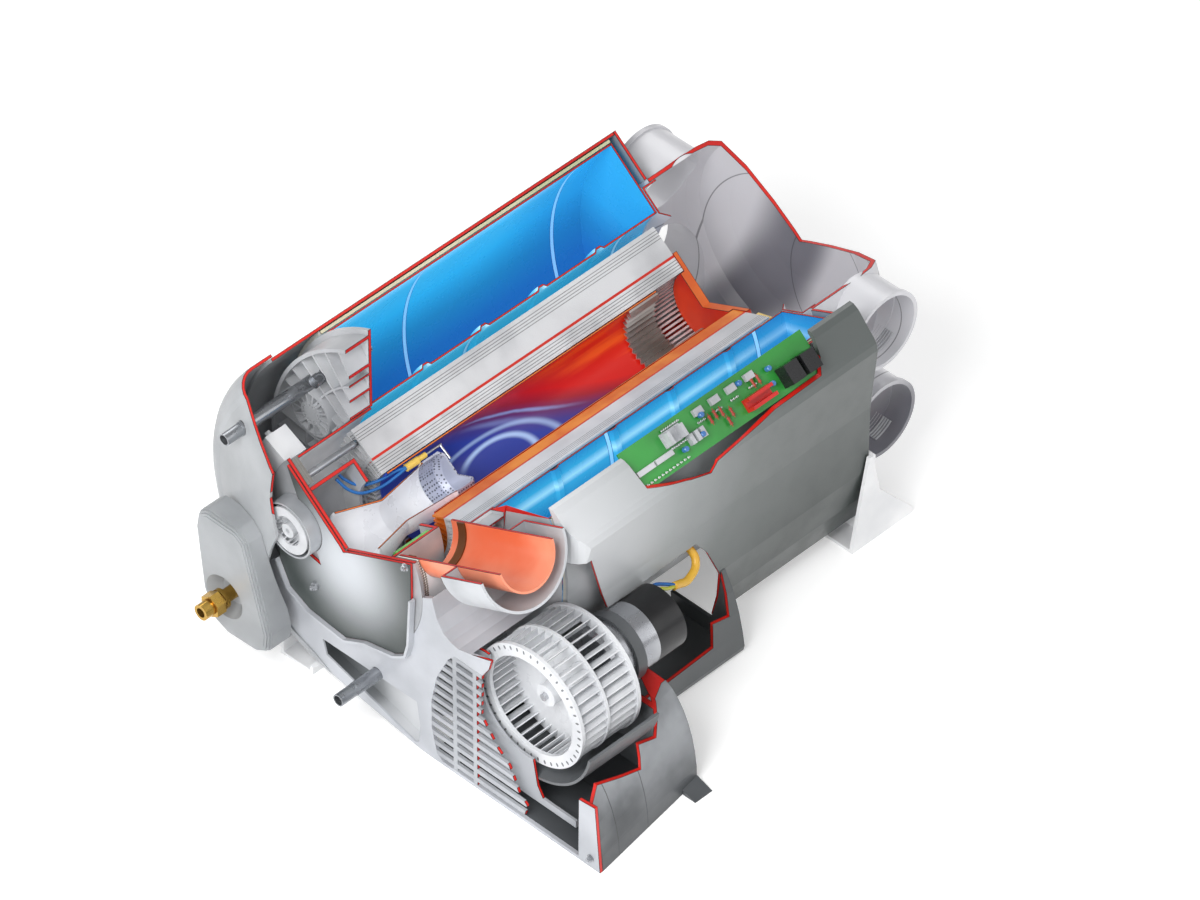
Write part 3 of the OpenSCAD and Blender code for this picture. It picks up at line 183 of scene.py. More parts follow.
class NodeBuilder:
    """Short ways to fill any node tree."""

    def __init__(self, tree: bpy.types.NodeTree) -> None:
        """Keeps the tree that the nodes go into."""
        self.tree = tree

    def node(self, kind: str, settings: dict, values: dict) -> bpy.types.Node:
        """Adds a node, sets its settings first and then its sockets.

        Args:
            kind: The node's type.
            settings: Attributes, such as an operation, and a ramp's stops under "stops".
            values: Numbers, colours, vectors or links, by socket name or identifier.

        Returns:
            The node.
        """
        made = self.tree.nodes.new(kind)
        for key, value in settings.items():
            if key == "stops":
                self.fill_ramp(made.color_ramp, value)
            else:
                setattr(made, key, value)
        for key, value in values.items():
            self.feed(next(s for s in made.inputs if key in (s.identifier, s.name) and s.enabled), value)
        return made

    @staticmethod
    def fill_ramp(ramp: bpy.types.ColorRamp, stops: Stops) -> None:
        """Sets a ramp's stops.

        Args:
            ramp: The ramp.
            stops: Place and colour of each stop, in order.
        """
        while len(ramp.elements) < len(stops):
            ramp.elements.new(0.5)
        for element, (place, colour) in zip(ramp.elements, stops):
            element.position = place
            element.color = (*colour, 1)

    def feed(self, socket: bpy.types.NodeSocket, value: object) -> None:
        """Links or sets one socket.

        Args:
            socket: The socket to fill.
            value: A wire, a socket, a colour without its alpha, or what the socket holds itself.
        """
        if isinstance(value, Wire):
            value = value.socket
        if isinstance(value, bpy.types.NodeSocket):
            self.tree.links.new(value, socket)
        elif isinstance(value, tuple) and len(value) < len(socket.default_value):
            socket.default_value = (*value, 1)
        else:
            socket.default_value = value


class MaterialTree(NodeBuilder):
    """A new material and the short ways to fill its node tree."""

    def __init__(self, name: str) -> None:
        """Makes the material with one Principled shader.

        Args:
            name: The material's name.
        """
        self.material = bpy.data.materials.new(name)
        self.material.use_nodes = True
        super().__init__(self.material.node_tree)
        self.tree.nodes.clear()
        self.shader = self.node("ShaderNodeBsdfPrincipled", {}, {})
        self.node("ShaderNodeOutputMaterial", {}, {"Surface": self.shader.outputs[0]})

    def shade(self, values: dict[str, object]) -> None:
        """Feeds sockets of the shader by their names."""
        for name, value in values.items():
            self.feed(self.shader.inputs[name], value)

    def maths(self, operation: str, *values: "Wire | float") -> Wire:
        """Adds a Math node on values in order and returns its result.

        Args:
            operation: The node's operation.
            values: The values.

        Returns:
            The node's result.
        """
        made = self.tree.nodes.new("ShaderNodeMath")
        made.operation = operation
        for socket, value in zip(made.inputs, values):
            self.feed(socket, value)
        return Wire(self, made.outputs[0])

    def coordinates(self, stretch: "Sequence[float] | None" = None) -> bpy.types.NodeSocket:
        """Object coordinates, scaled apart where a stretch is given.

        Args:
            stretch: Scale along x, y and z.

        Returns:
            The vector socket.
        """
        place = self.node("ShaderNodeTexCoord", {}, {}).outputs["Object"]
        if stretch is None:
            return place
        return self.node("ShaderNodeMapping", {}, {"Vector": place, "Scale": stretch}).outputs["Vector"]

    def axes(self, output: str = "Object") -> tuple[Wire, Wire, Wire]:
        """The three parts of a place, or of the surface's direction where the output is Normal.

        Args:
            output: Object or Normal.

        Returns:
            The three values.
        """
        way = self.node("ShaderNodeTexCoord", {}, {}).outputs[output]
        split = self.node("ShaderNodeSeparateXYZ", {}, {"Vector": way})
        return tuple(Wire(self, part) for part in split.outputs)

    def noise(self, scale: float, detail: float, stretch: "Sequence[float] | None" = None) -> Wire:
        """Cloudy pattern from zero to one.

        Args:
            scale: Number of clouds in a metre.
            detail: Levels of finer clouds.
            stretch: Scale along x, y and z.

        Returns:
            The pattern.
        """
        made = self.node("ShaderNodeTexNoise", {},
                         {"Vector": self.coordinates(stretch), "Scale": scale, "Detail": detail})
        return Wire(self, made.outputs[0])

    def blend(self, share: "Wire | float", first: object, second: object) -> bpy.types.NodeSocket:
        """Mixes two colours.

        Args:
            share: Share of the second colour.
            first: Colour or socket at share zero.
            second: Colour or socket at share one.

        Returns:
            The mixed colour's socket.
        """
        made = self.node("ShaderNodeMix", {"data_type": "RGBA", "clamp_factor": True},
                         {"Factor_Float": share, "A_Color": first, "B_Color": second})
        return next(s for s in made.outputs if s.identifier == "Result_Color")

    def ramp(self, value: Wire, stops: Stops) -> bpy.types.NodeSocket:
        """Colour ramp over a value from zero to one."""
        return self.node("ShaderNodeValToRGB", {"stops": stops}, {"Fac": value}).outputs["Color"]

    def bump(self, height: Wire, depth: float, strength: float) -> None:
        """Gives the shader small relief.

        Args:
            height: Height pattern from zero to one.
            depth: Depth in metres.
            strength: Strength of the relief.
        """
        made = self.node("ShaderNodeBump", {}, {"Height": height, "Distance": depth, "Strength": strength})
        self.shade({"Normal": made.outputs["Normal"]})


@dataclass(frozen=True)
class Barrel:
    """The barrel's axis and the two planes that open it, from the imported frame.

    Attributes:
        axis_y: Place of the axis across the barrel.
        axis_z: Its height.
        radius: Radius of the tank's outer wall.
        front_x: Place of the barrel's front.
        far_angle: Turn of the far cut, in degrees from the far side upward.
        near_angle: Turn of the near cut.
    """

    axis_y: float
    axis_z: float
    radius: float
    front_x: float
    far_angle: float = 40.0
    near_angle: float = 155.0

    @classmethod
    @cache
    def from_frame(cls) -> "Barrel":
        """Reads the axis from the tank's outer wall and the front from the burner's flange.

        Returns:
            The values read.
        """
        low, high = box("tank_outer_wall")
        radius = (high.y - low.y) / 2
        front, _ = box("burner_flange")
        return cls((low.y + high.y) / 2, low.z + radius, radius, front.x)

    def point(self, x: float, radius: float, angle: float) -> Vector:
        """Place on a circle round the axis.

        Args:
            x: Distance behind the barrel's front.
            radius: Distance from the axis.
            angle: Degrees from the far side upward.

        Returns:
            The place.
        """
        turn = math.radians(angle)
        side, height = radius * math.cos(turn), radius * math.sin(turn)
        return Vector((self.front_x + x, self.axis_y + side, self.axis_z + height))

    def on_cut(self, place: Vector, facing: Vector, reach: float = 0.1 * MM) -> bool:
        """Whether a face lies on one of the two planes that open the barrel.

        Args:
            place: The face's middle.
            facing: The face's direction.
            reach: Largest distance from the plane.

        Returns:
            True on a cut face.
        """
        side, height = place.y - self.axis_y, place.z - self.axis_z
        for angle in (self.far_angle, self.near_angle):
            along, up = math.cos(math.radians(angle)), math.sin(math.radians(angle))
            close = abs(height * along - side * up) < reach and side * along + height * up > 0
            if close and abs(facing.z * along - facing.y * up) > SQUARE_ON:
                return True
        return False

    def radius_wire(self, tree: MaterialTree) -> Wire:
        """Distance from the axis as a wire."""
        _, y, z = tree.axes()
        return (y - self.axis_y).hypot(z - self.axis_z)

    def angle_wire(self, tree: MaterialTree) -> Wire:
        """Turn round the axis in radians as a wire."""
        _, y, z = tree.axes()
        return (z - self.axis_z).maths("ARCTAN2", y - self.axis_y)


@dataclass(frozen=True)
class Relief:
    """Small bumps of a surface.

    Attributes:
        scale: Number of bumps in a metre.
        detail: Levels of finer bumps.
        depth: Their depth.
        strength: Their strength.
        stretch: Scale along x, y and z, or None where they are even.
    """

    scale: float
    detail: float
    depth: float
    strength: float
    stretch: "tuple[float, float, float] | None" = None


class Surface(Enum):
    """What a surface is made of, with its small relief."""

    PLASTIC = Relief(1400, 3, 0.12 * MM, 0.35)
    PAINT = Relief(300, 2, 0.06 * MM, 0.25)
    CAST = Relief(900, 4, 0.3 * MM, 0.5)
    STEEL = Relief(120, 2, 0.05 * MM, 0.3, (1, 30, 30))
    WOOL = Relief(420, 6, 0.9 * MM, 0.9)
    GLOSS = None


@dataclass(frozen=True)
class Finish:
    """A plain finish with the variation that the real surface has.

    Attributes:
        name: The finish's name.
        surface: What it is made of.
        colour: Main colour.
        shade: Colour of the broad darker or lighter clouds.
        rough: Roughness.
        metal: Metallic share.
        coat: Clear coat weight.
    """

    name: str
    surface: Surface
    colour: Colour
    shade: Colour
    rough: float = 0.45
    metal: float = 0.0
    coat: float = 0.0

    def base(self, tree: MaterialTree) -> bpy.types.NodeSocket:
        """Main colour with its clouds."""
        return tree.blend(tree.noise(14, 4).ease(0.35, 0.7), self.colour, self.shade)

    def rough_wire(self, tree: MaterialTree) -> Wire:
        """Roughness with faint handling marks."""
        return tree.noise(60, 5).ease(0.3, 0.8) * HANDLING + (self.rough - HANDLING / 2)

    def build(self) -> bpy.types.Material:
        """Makes the material.

        Returns:
            The material.
        """
        tree = MaterialTree(self.name)
        tree.shade({"Base Color": self.base(tree), "Roughness": self.rough_wire(tree),
                    "Metallic": self.metal, "Coat Weight": self.coat, "Coat Roughness": COAT_ROUGHNESS})
        relief = self.surface.value
        if relief is not None:
            height = tree.noise(relief.scale, relief.detail, relief.stretch)
            tree.bump(height, relief.depth, relief.strength)
        self.glow(tree)
        return tree.material

    def glow(self, tree: MaterialTree) -> None:
        """Plain finishes give no light."""


@dataclass(frozen=True)
class PaintedGlowFinish(Finish):
    """A finish with a painted glow: its colour shows in the shade too, as the painted flame and water do,
    though the part is no lamp.

    Attributes:
        light: Strength of the painted glow, the colour's own light.
    """

    light: float = 0.3

    def glow(self, tree: MaterialTree) -> None:
        """Lets the base colour give its own faint light, a painted glow."""
        base = tree.shader.inputs["Base Color"].links[0].from_socket
        tree.shade({"Emission Color": base, "Emission Strength": self.light})


@dataclass(frozen=True)
class SawnFinish(Finish):
    """Painted cut through a wall, with the dark line that a drawing gives its edge.

    Attributes:
        line: Colour of the line.
    """

    line: Colour = srgb(36, 10, 8)

    def base(self, tree: MaterialTree) -> bpy.types.NodeSocket:
        """Cut colour inside and line colour along the edge."""
        ink = tree.node("ShaderNodeAttribute", {"attribute_name": "ink"}, {}).outputs["Fac"]
        return tree.blend(Wire(tree, ink), super().base(tree), self.line)


@dataclass(frozen=True)
class SeamedFinish(Finish):
    """Moulded side wall with painted shade that darkens it downward, with thin dark seams across the
    barrel.

    Attributes:
        places: Place of each seam along the barrel.
        fall: Height where the painted shade begins to darken the colour, and height where it is the full
            shade.
        seam: Half a seam's width.
    """

    places: tuple[float, ...] = (-186 * MM, -151 * MM)
    fall: tuple[float, float] = (70 * MM, -10 * MM)
    seam: float = 0.45 * MM

    def base(self, tree: MaterialTree) -> bpy.types.NodeSocket:
        """Clouded colour with painted shade that darkens it downward, with its seams.

        Args:
            tree: The material's tree.

        Returns:
            The colour's socket.
        """
        x, _, z = tree.axes()
        # Painted shade: darker toward the bottom.
        share = z.ease(*self.fall) + tree.noise(9, 3) * 0.2 - 0.1
        colour = tree.blend(share, super().base(tree), self.shade)
        for place in self.places:
            colour = tree.blend(abs(x - place).below(self.seam) * 0.7, colour, srgb(50, 52, 54))
        return colour


@dataclass(frozen=True)
class PaintedLightPoolFinish(Finish):
    """Sheet with a painted pool of light round one place, running into painted shade away from it.

    Attributes:
        centre: Middle of the painted pool of light, across the barrel and up.
        near: Distance at which the painted shade begins.
        far: Distance at which it is full.
    """

    centre: tuple[float, float] = (52 * MM, 138 * MM)
    near: float = 4 * MM
    far: float = 74 * MM

    def base(self, tree: MaterialTree) -> bpy.types.NodeSocket:
        """Painted pool of light with clouds at its rim.

        Args:
            tree: The material's tree.

        Returns:
            The colour's socket.
        """
        _, y, z = tree.axes()
        # Painted pool of light, running into painted shade away from its middle.
        away = (y - self.centre[0]).hypot(z - self.centre[1]).ease(self.near, self.far)
        return tree.blend(away + tree.noise(12, 3) * 0.14 - 0.07, self.colour, self.shade)


@dataclass(frozen=True)
class PocketPaintedShadeFinish(Finish):
    """Front housing with painted shade in its hand pocket, darkest at the upper end.

    Attributes:
        skin: Place behind which a face belongs to the pocket.
        top: Height under which the pocket lies.
        side: Place across the barrel from which it lies on the far side.
        dark: Place across the barrel where the pocket's painted shade is darkest.
        light: Place where the pocket's painted shade is lightest.
    """

    skin: float = -207.6 * MM
    top: float = 46 * MM
    side: float = -22 * MM
    dark: float = 85 * MM
    light: float = -18 * MM

    def base(self, tree: MaterialTree) -> bpy.types.NodeSocket:
        """Housing colour, and painted shade in the pocket, dark to light.

        Args:
            tree: The material's tree.

        Returns:
            The colour's socket.
        """
        x, y, z = tree.axes()
        inside = x.above(self.skin) * z.below(self.top) * y.above(self.side)
        # Painted shade in the recess of the pocket, from dark to light.
        depth = tree.ramp(y.ease(self.dark, self.light) + tree.noise(14, 2) * 0.1, (
            (0.0, srgb(44, 47, 49)), (0.45, srgb(112, 116, 119)), (1.0, srgb(196, 198, 201))))
        return tree.blend(inside, super().base(tree), depth)


@dataclass(frozen=True)
class DottedFinish(Finish):
    """Perforated sheet, drawn with small dark holes in even rows.

    Attributes:
        cells: Number of holes in a metre.
        hole: Half a hole's width as a share of the distance between two.
    """

    cells: float = 420.0
    hole: float = 0.33

    def base(self, tree: MaterialTree) -> bpy.types.NodeSocket:
        """Sheet colour with the dark holes.

        Args:
            tree: The material's tree.

        Returns:
            The colour's socket.
        """
        made = tree.node("ShaderNodeTexVoronoi", {"feature": "F1"},
                         {"Vector": tree.coordinates(), "Scale": self.cells, "Randomness": 0.25})
        dots = Wire(tree, made.outputs["Distance"]).below(self.hole)
        return tree.blend(dots * 0.85, super().base(tree), srgb(40, 44, 66))


@dataclass(frozen=True)
class WovenFinish(Finish):
    """Woven ceramic cord, drawn as crossing light strands.

    Attributes:
        strands: How fast the weave's waves run, in radians a metre.
        round_share: Radius of the cord's ring as a share of the barrel's.
    """

    strands: float = 1500.0
    round_share: float = 0.55

    def base(self, tree: MaterialTree) -> bpy.types.NodeSocket:
        """Light strands with dark gaps.

        Args:
            tree: The material's tree.

        Returns:
            The colour's socket.
        """
        barrel = Barrel.from_frame()
        x, _, _ = tree.axes()
        round_way = barrel.angle_wire(tree) * barrel.radius * self.round_share
        weave = ((x + round_way) * self.strands).waves() * ((x - round_way) * self.strands).waves()
        return tree.blend(weave.ease(0.35, -0.1), self.colour, self.shade)


@dataclass(frozen=True)
class SilverPot(PaintedGlowFinish):
    """Silvery moulding with painted highlights and painted shade in broad sweeps, a faint painted glow, and
    thin seams round its body.

    Attributes:
        rings: Middle, across the barrel and up, and radius of each round seam.
        seam: Half a seam's width.
    """

    rings: tuple[tuple[float, float, float], ...] = ((0.0, 130 * MM, 62 * MM), (60 * MM, 120 * MM, 83 * MM))
    seam: float = 0.5 * MM

    def base(self, tree: MaterialTree) -> bpy.types.NodeSocket:
        """Painted highlights and painted shade in broad sweeps, with the seams.

        Args:
            tree: The material's tree.

        Returns:
            The colour's socket.
        """
        _, y, z = tree.axes()
        # Painted highlights and painted shade: broad waves of light and dark across the moulding.
        sweep = (y * 38 + z * 22 + tree.noise(4, 2) * 5).waves().ease(0.1, 0.95)
        colour = tree.blend(sweep * 0.85 + tree.noise(14, 3) * 0.15, self.colour, self.shade)
        for across, up, radius in self.rings:
            away = abs((y - across).hypot(z - up) - radius)
            colour = tree.blend(away.below(self.seam) * 0.6, colour, srgb(60, 62, 66))
        return colour


@dataclass(frozen=True)
class WaterBlue(PaintedGlowFinish):
    """Tank sheet tinted as water blue, with painted light and shade: a pale painted highlight along its
    upper edge, deeper blue painted shade lower down, a faint painted glow, and two pale seams.

    Attributes:
        seams: Distance of each seam from the barrel's front.
        seam: Half a pale seam's width.
        rim: Half the width of the seam with its dark rim.
        far_sweep: Turn below the far cut over which the blues run from painted highlight into painted
            shade, in radians.
        near_sweep: The same below the near cut.
        fade: Places along the barrel between which the painted highlight along the far side's pale edge
            fades to the rear.
        rear_painted_shade: Places between which painted shade makes the whole sheet deeper to the rear.
    """

    seams: tuple[float, ...] = (195 * MM, 350 * MM)
    seam: float = 1.6 * MM
    rim: float = 2.2 * MM
    far_sweep: float = 0.95
    near_sweep: float = 0.55
    fade: tuple[float, float] = (100 * MM, 165 * MM)
    rear_painted_shade: tuple[float, float] = (60 * MM, 170 * MM)

    def base(self, tree: MaterialTree) -> bpy.types.NodeSocket:
        """Blues by turn round the axis on each side, painted highlight to painted shade, with the seams.

        Args:
            tree: The material's tree.

        Returns:
            The colour's socket.
        """
        barrel = Barrel.from_frame()
        turn = barrel.angle_wire(tree)
        x, y, _ = tree.axes()
        drift = (tree.noise(5, 2, (0.5, 1, 1)) - 0.5) * 0.22
        far = (turn * -1 + math.radians(barrel.far_angle)) * (1 / self.far_sweep) + drift
        near = (turn - math.radians(barrel.near_angle)) * (1 / self.near_sweep) + drift * 0.5
        # Far side: painted highlight along the cut edge, running through the water blue into painted shade
        # lower down.
        far_blue_painted_shading = tree.ramp(far.maths("MAXIMUM", x.ease(*self.fade) * 0.5), (
            (0.0, srgb(184, 220, 234)), (0.09, srgb(116, 190, 218)), (0.24, srgb(66, 172, 206)),
            (0.5, self.colour), (0.78, srgb(36, 128, 172)), (1.0, self.shade)))
        # Near side: painted shade at both edges and a painted highlight band between them.
        near_blue_painted_shading = tree.ramp(near, (
            (0.0, srgb(34, 118, 168)), (0.18, srgb(50, 150, 190)), (0.32, srgb(150, 204, 222)),
            (0.42, srgb(56, 156, 194)), (0.8, srgb(34, 122, 170)), (1.0, srgb(22, 90, 144))))
        colour = tree.blend(y.below(barrel.axis_y), far_blue_painted_shading, near_blue_painted_shading)
        # Painted shade that darkens the whole sheet toward the rear.
        colour = tree.blend(x.ease(*self.rear_painted_shade) * 0.45, colour, self.shade)
        for seam in self.seams:
            away = abs(x - (barrel.front_x + seam))
            colour = tree.blend(away.below(self.seam) * 0.8, colour, srgb(150, 205, 235))
            colour = tree.blend(away.between(self.seam, self.rim) * 0.7, colour, srgb(20, 60, 120))
        return colour


@dataclass(frozen=True)
class Streak:
    """A pale line along the flame's edge.

    Attributes:
        level: How far inside the flame it lies.
        width: Its width as a share of the tube.
        glow: Its strength.
        reach: Share of the tube where it has faded out.
    """

    level: float
    width: float
    glow: float
    reach: float


@dataclass(frozen=True)
class Curl:
    """A pale streak that curls back from the burner.

    Attributes:
        centre: Its middle as a share of the tube.
        middle: Its middle in radians round the tube.
        length: Half its length as a share of the tube.
        spread: Half its breadth in radians.
        width: Width of the line.
        glow: Its strength.
    """

    centre: float
    middle: float
    length: float
    spread: float
    width: float
    glow: float


@dataclass(frozen=True)
class FlamePaint(PaintedGlowFinish):
    """Inside of the combustion tube: painted flame, blue and violet at the burner, red and orange behind
    it, with a faint painted glow.

    Attributes:
        lean: How far along the tube the flame's edge moves for each radian round it.
        edge: How far the colours are shifted toward the burner.
        hot: Where the orange streaks begin and where they are full.
        streaks: Pale lines along the flame's edge.
        curls: Pale streaks inside the flame.
    """

    lean: float = 0.25
    edge: float = 0.34
    hot: tuple[float, float] = (0.34, 0.55)
    streaks: tuple[Streak, ...] = (Streak(0.2, 0.02, 0.75, 0.72), Streak(0.14, 0.035, 0.45, 0.6))
    curls: tuple[Curl, ...] = (
        Curl(0.36, -1.3, 0.125, 0.62, 0.16, 0.9), Curl(0.33, -1.45, 0.24, 1.0, 0.09, 0.6))

    def base(self, tree: MaterialTree) -> bpy.types.NodeSocket:
        """Flame colours along the tube with pale streaks curling back from the burner.

        Args:
            tree: The material's tree.

        Returns:
            The colour's socket.
        """
        barrel = Barrel.from_frame()
        low, high = box("combustion_tube")
        along = (tree.axes()[0] - low.x) / (high.x - low.x)
        turn = barrel.angle_wire(tree)
        drift = (tree.noise(9, 4, (1, 3, 3)) - 0.5) * 0.08
        heat = along + (turn - math.radians(barrel.far_angle)) * self.lean + drift
        colour = tree.ramp(heat + self.edge, (
            (0.0, srgb(34, 44, 116)), (0.38, srgb(44, 62, 150)), (0.46, srgb(66, 58, 132)),
            (0.53, srgb(98, 44, 92)), (0.6, srgb(150, 30, 44)), (0.68, srgb(196, 28, 22)),
            (1.0, srgb(206, 40, 22))))
        orange = tree.noise(22, 4, (0.35, 5, 5)).ease(0.46, 0.7) * heat.ease(*self.hot)
        colour = tree.blend(orange * 0.8, colour, srgb(232, 92, 30))
        for streak in self.streaks:
            start, stop = along.ease(0.25, 0.4), along.ease(streak.reach, streak.reach - 0.2)
            line = abs(heat - streak.level).ease(streak.width, 0.0) * start * stop
            colour = tree.blend(line * streak.glow, colour, srgb(138, 160, 214))
        for curl in self.curls:
            ahead, across = (along - curl.centre) / curl.length, (turn - curl.middle) / curl.spread
            ring = abs(ahead.hypot(across) - 1).ease(curl.width, 0.0)
            bright = ring * (ahead + across).ease(-0.6, 0.5) * curl.glow
            colour = tree.blend(bright, colour, srgb(168, 198, 236))
        return colour


@dataclass(frozen=True)
class ExchangerCast(Finish):
    """Light cast metal outside, warmed to orange inside where the flue gas runs back.

    Attributes:
        wall: Radius of the middle of the exchanger's wall.
        pitch: Distance between the drawn fin lines.
        outer: Distances outside the wall between which fin lines are drawn.
        inner: The same inside it.
        core: Half the width of the red line along the wall.
        flat: Part of a direction over which a face lies on one of the cuts.
    """

    wall: float = 43.5 * MM
    pitch: float = 2.2 * MM
    outer: tuple[float, float] = (15 * MM, 25 * MM)
    inner: tuple[float, float] = (-12 * MM, -2 * MM)
    core: float = 1.0 * MM
    flat: float = 0.97

    def on_flank(self, tree: MaterialTree, barrel: Barrel) -> Wire:
        """One on the faces that the two cuts leave, else zero.

        Args:
            tree: The material's tree.
            barrel: The barrel.

        Returns:
            The mask.
        """
        _, across, up = tree.axes("Normal")
        facings = [abs(up * math.cos(turn) - across * math.sin(turn)).above(self.flat)
                   for turn in (math.radians(barrel.far_angle), math.radians(barrel.near_angle))]
        return facings[0].maths("MAXIMUM", facings[1])

    def base(self, tree: MaterialTree) -> bpy.types.NodeSocket:
        """Cast colour outside the wall and flue colour inside it.

        Args:
            tree: The material's tree.

        Returns:
            The colour's socket.
        """
        barrel = Barrel.from_frame()
        radius = barrel.radius_wire(tree)
        near = tree.axes()[1].below(barrel.axis_y)
        clouds = tree.noise(30, 3).ease(0.3, 0.7)
        warm = tree.blend(clouds, srgb(238, 146, 52), srgb(214, 100, 30))
        cool = tree.blend(clouds, srgb(226, 227, 229), srgb(190, 191, 193))
        colour = tree.blend(radius.below(self.wall), super().base(tree), tree.blend(near, cool, warm))
        flank = self.on_flank(tree, barrel)
        lines = (radius * (2 * math.pi / self.pitch)).waves().above(0.72)
        outside = lines * radius.between(*(self.wall + reach for reach in self.outer))
        inside = lines * radius.between(*(self.wall + reach for reach in self.inner)) * (1 - near)
        colour = tree.blend(flank * outside.maths("MAXIMUM", inside) * 0.75, colour, srgb(58, 60, 64))
        red = flank * abs(radius - self.wall).below(self.core)
        return tree.blend(red, colour, srgb(206, 44, 30))


@dataclass(frozen=True)
class ShadedCover(Finish):
    """Moulded cover with painted light and shade: light grey at its front, running to dark grey painted
    shade at its rear.

    Attributes:
        run: Places along the barrel between which painted shade darkens it.
        fall: Heights between which painted shade darkens it down the wall.
        light: Colour of the painted light at the front.
        grey: Colour behind it.
    """

    run: tuple[float, float] = (-160 * MM, 150 * MM)
    fall: tuple[float, float] = (160 * MM, 20 * MM)
    light: Colour = srgb(206, 208, 211)
    grey: Colour = srgb(150, 154, 155)

    def base(self, tree: MaterialTree) -> bpy.types.NodeSocket:
        """Painted light and shade along the barrel and down the wall, with soft clouds.

        Args:
            tree: The material's tree.

        Returns:
            The colour's socket.
        """
        x, _, z = tree.axes()
        # Painted shade: darker toward the rear and toward the bottom.
        dark = x.ease(*self.run) * 0.8 + z.ease(*self.fall) * 0.3 + tree.noise(7, 2) * 0.12 - 0.06
        return tree.ramp(dark, ((0.0, self.light), (0.3, self.grey), (0.6, self.colour), (1.0, self.shade)))


class Wardrobe:
    """All finishes of the heater, made once and given to the pieces."""

    def __init__(self) -> None:
        """Begins with no finish made."""
        self.made: dict[str, bpy.types.Material] = {}

    def material(self, finish: Finish) -> bpy.types.Material:
        """The finish's material, built on first use.

        Args:
            finish: The finish.

        Returns:
            The material.
        """
        if finish.name not in self.made:
            self.made[finish.name] = finish.build()
        return self.made[finish.name]

    def dress(self, finish: Finish, *nodes: str) -> None:
        """Gives CAD nodes a finish through their material slots.

        Args:
            finish: The finish.
            nodes: Names of the CAD nodes.
        """
        material = self.material(finish)
        for name in nodes:
            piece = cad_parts[name]
            if not piece.material_slots:
                piece.data.materials.append(material)
            for slot in piece.material_slots:
                slot.material = material
        log.info("dressed %s as %s", ", ".join(nodes), finish.name)


def add_piece(name: str, mesh: bpy.types.Mesh, material: bpy.types.Material, body: str,
              slot: str) -> bpy.types.Object:
    """Links a mesh as a new piece that rides on a body.

    Args:
        name: The piece's name.
        mesh: Its mesh, in place.
        material: Its material.
        body: The CAD body that it moves with.
        slot: Name of a material slot; not used.

    Returns:
        The piece's object.
    """
    piece = bpy.data.objects.new(name, mesh)
    bpy.context.scene.collection.objects.link(piece)
    if not mesh.materials:
        mesh.materials.append(material)
    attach(piece, body)
    log.info("made %s with %d faces", name, len(mesh.polygons))
    return piece


def smooth_line(points: Sequence[Vector], steps: int = 8) -> list[Vector]:
    """Points of a Catmull-Rom line through given places.

    Args:
        points: The places.
        steps: Steps between two places.

    Returns:
        The line's points.
    """
    padded = [points[0] * 2 - points[1], *points, points[-1] * 2 - points[-2]]
    line = []
    for before, start, end, after in zip(padded, padded[1:], padded[2:], padded[3:]):
        for step in range(steps):
            t = step / steps
            bend = 2 * before - 5 * start + 4 * end - after
            turn = 3 * start - before - 3 * end + after
            line.append(0.5 * ((2 * start) + (end - before) * t + bend * t * t + turn * t ** 3))
    line.append(points[-1].copy())
    return line


def smooth_tube(name: str, points: Sequence[Vector], radius: float, sides: int = 12) -> bpy.types.Mesh:
    """A round tube with closed ends along a smooth line.

    Args:
        name: The mesh's name.
        points: Places that the line passes through.
        radius: The tube's radius.
        sides: Number of sides.

    Returns:
        The mesh.
    """
    line = smooth_line(points)
    mesh = bmesh.new()
    rings: list[list[bmesh.types.BMVert]] = []
    side = Vector((0, 0, 1))
    for index, place in enumerate(line):
        ahead = line[min(index + 1, len(line) - 1)] - line[max(index - 1, 0)]
        ahead.normalize()
        side = side - ahead * side.dot(ahead)
        if side.length < UPRIGHT:
            side = ahead.orthogonal()
        side.normalize()
        other = ahead.cross(side)
        rings.append([mesh.verts.new(place + (side * math.cos(a) + other * math.sin(a)) * radius)
                      for a in (2 * math.pi * i / sides for i in range(sides))])
    for first, second in zip(rings, rings[1:]):
        for i in range(sides):
            mesh.faces.new((first[i], first[(i + 1) % sides], second[(i + 1) % sides], second[i]))
    mesh.faces.new(list(reversed(rings[0])))
    mesh.faces.new(rings[-1])
    bmesh.ops.recalc_face_normals(mesh, faces=mesh.faces)
    made = bpy.data.meshes.new(name)
    mesh.to_mesh(made)
    mesh.free()
    for face in made.polygons:
        face.use_smooth = True
    return made


@dataclass(frozen=True)
class Spot:
    """A place for one repeated shape.

    Attributes:
        place: Where it stands.
        facing: Direction of its Z.
        run: Direction of its X.
    """

    place: Vector
    facing: Vector
    run: Vector = ALONG


def spots_mesh(spots: Sequence[Spot]) -> bpy.types.Mesh:
    """Points with their directions, for a geometry tree.

    Args:
        spots: The places.

    Returns:
        A mesh of loose points.
    """
    made = bpy.data.meshes.new("spots")
    made.from_pydata([spot.place for spot in spots], [], [])
    for name in ("facing", "run"):
        layer = made.attributes.new(name, "FLOAT_VECTOR", "POINT")
        for item, spot in zip(layer.data, spots):
            item.vector = getattr(spot, name)
    return made


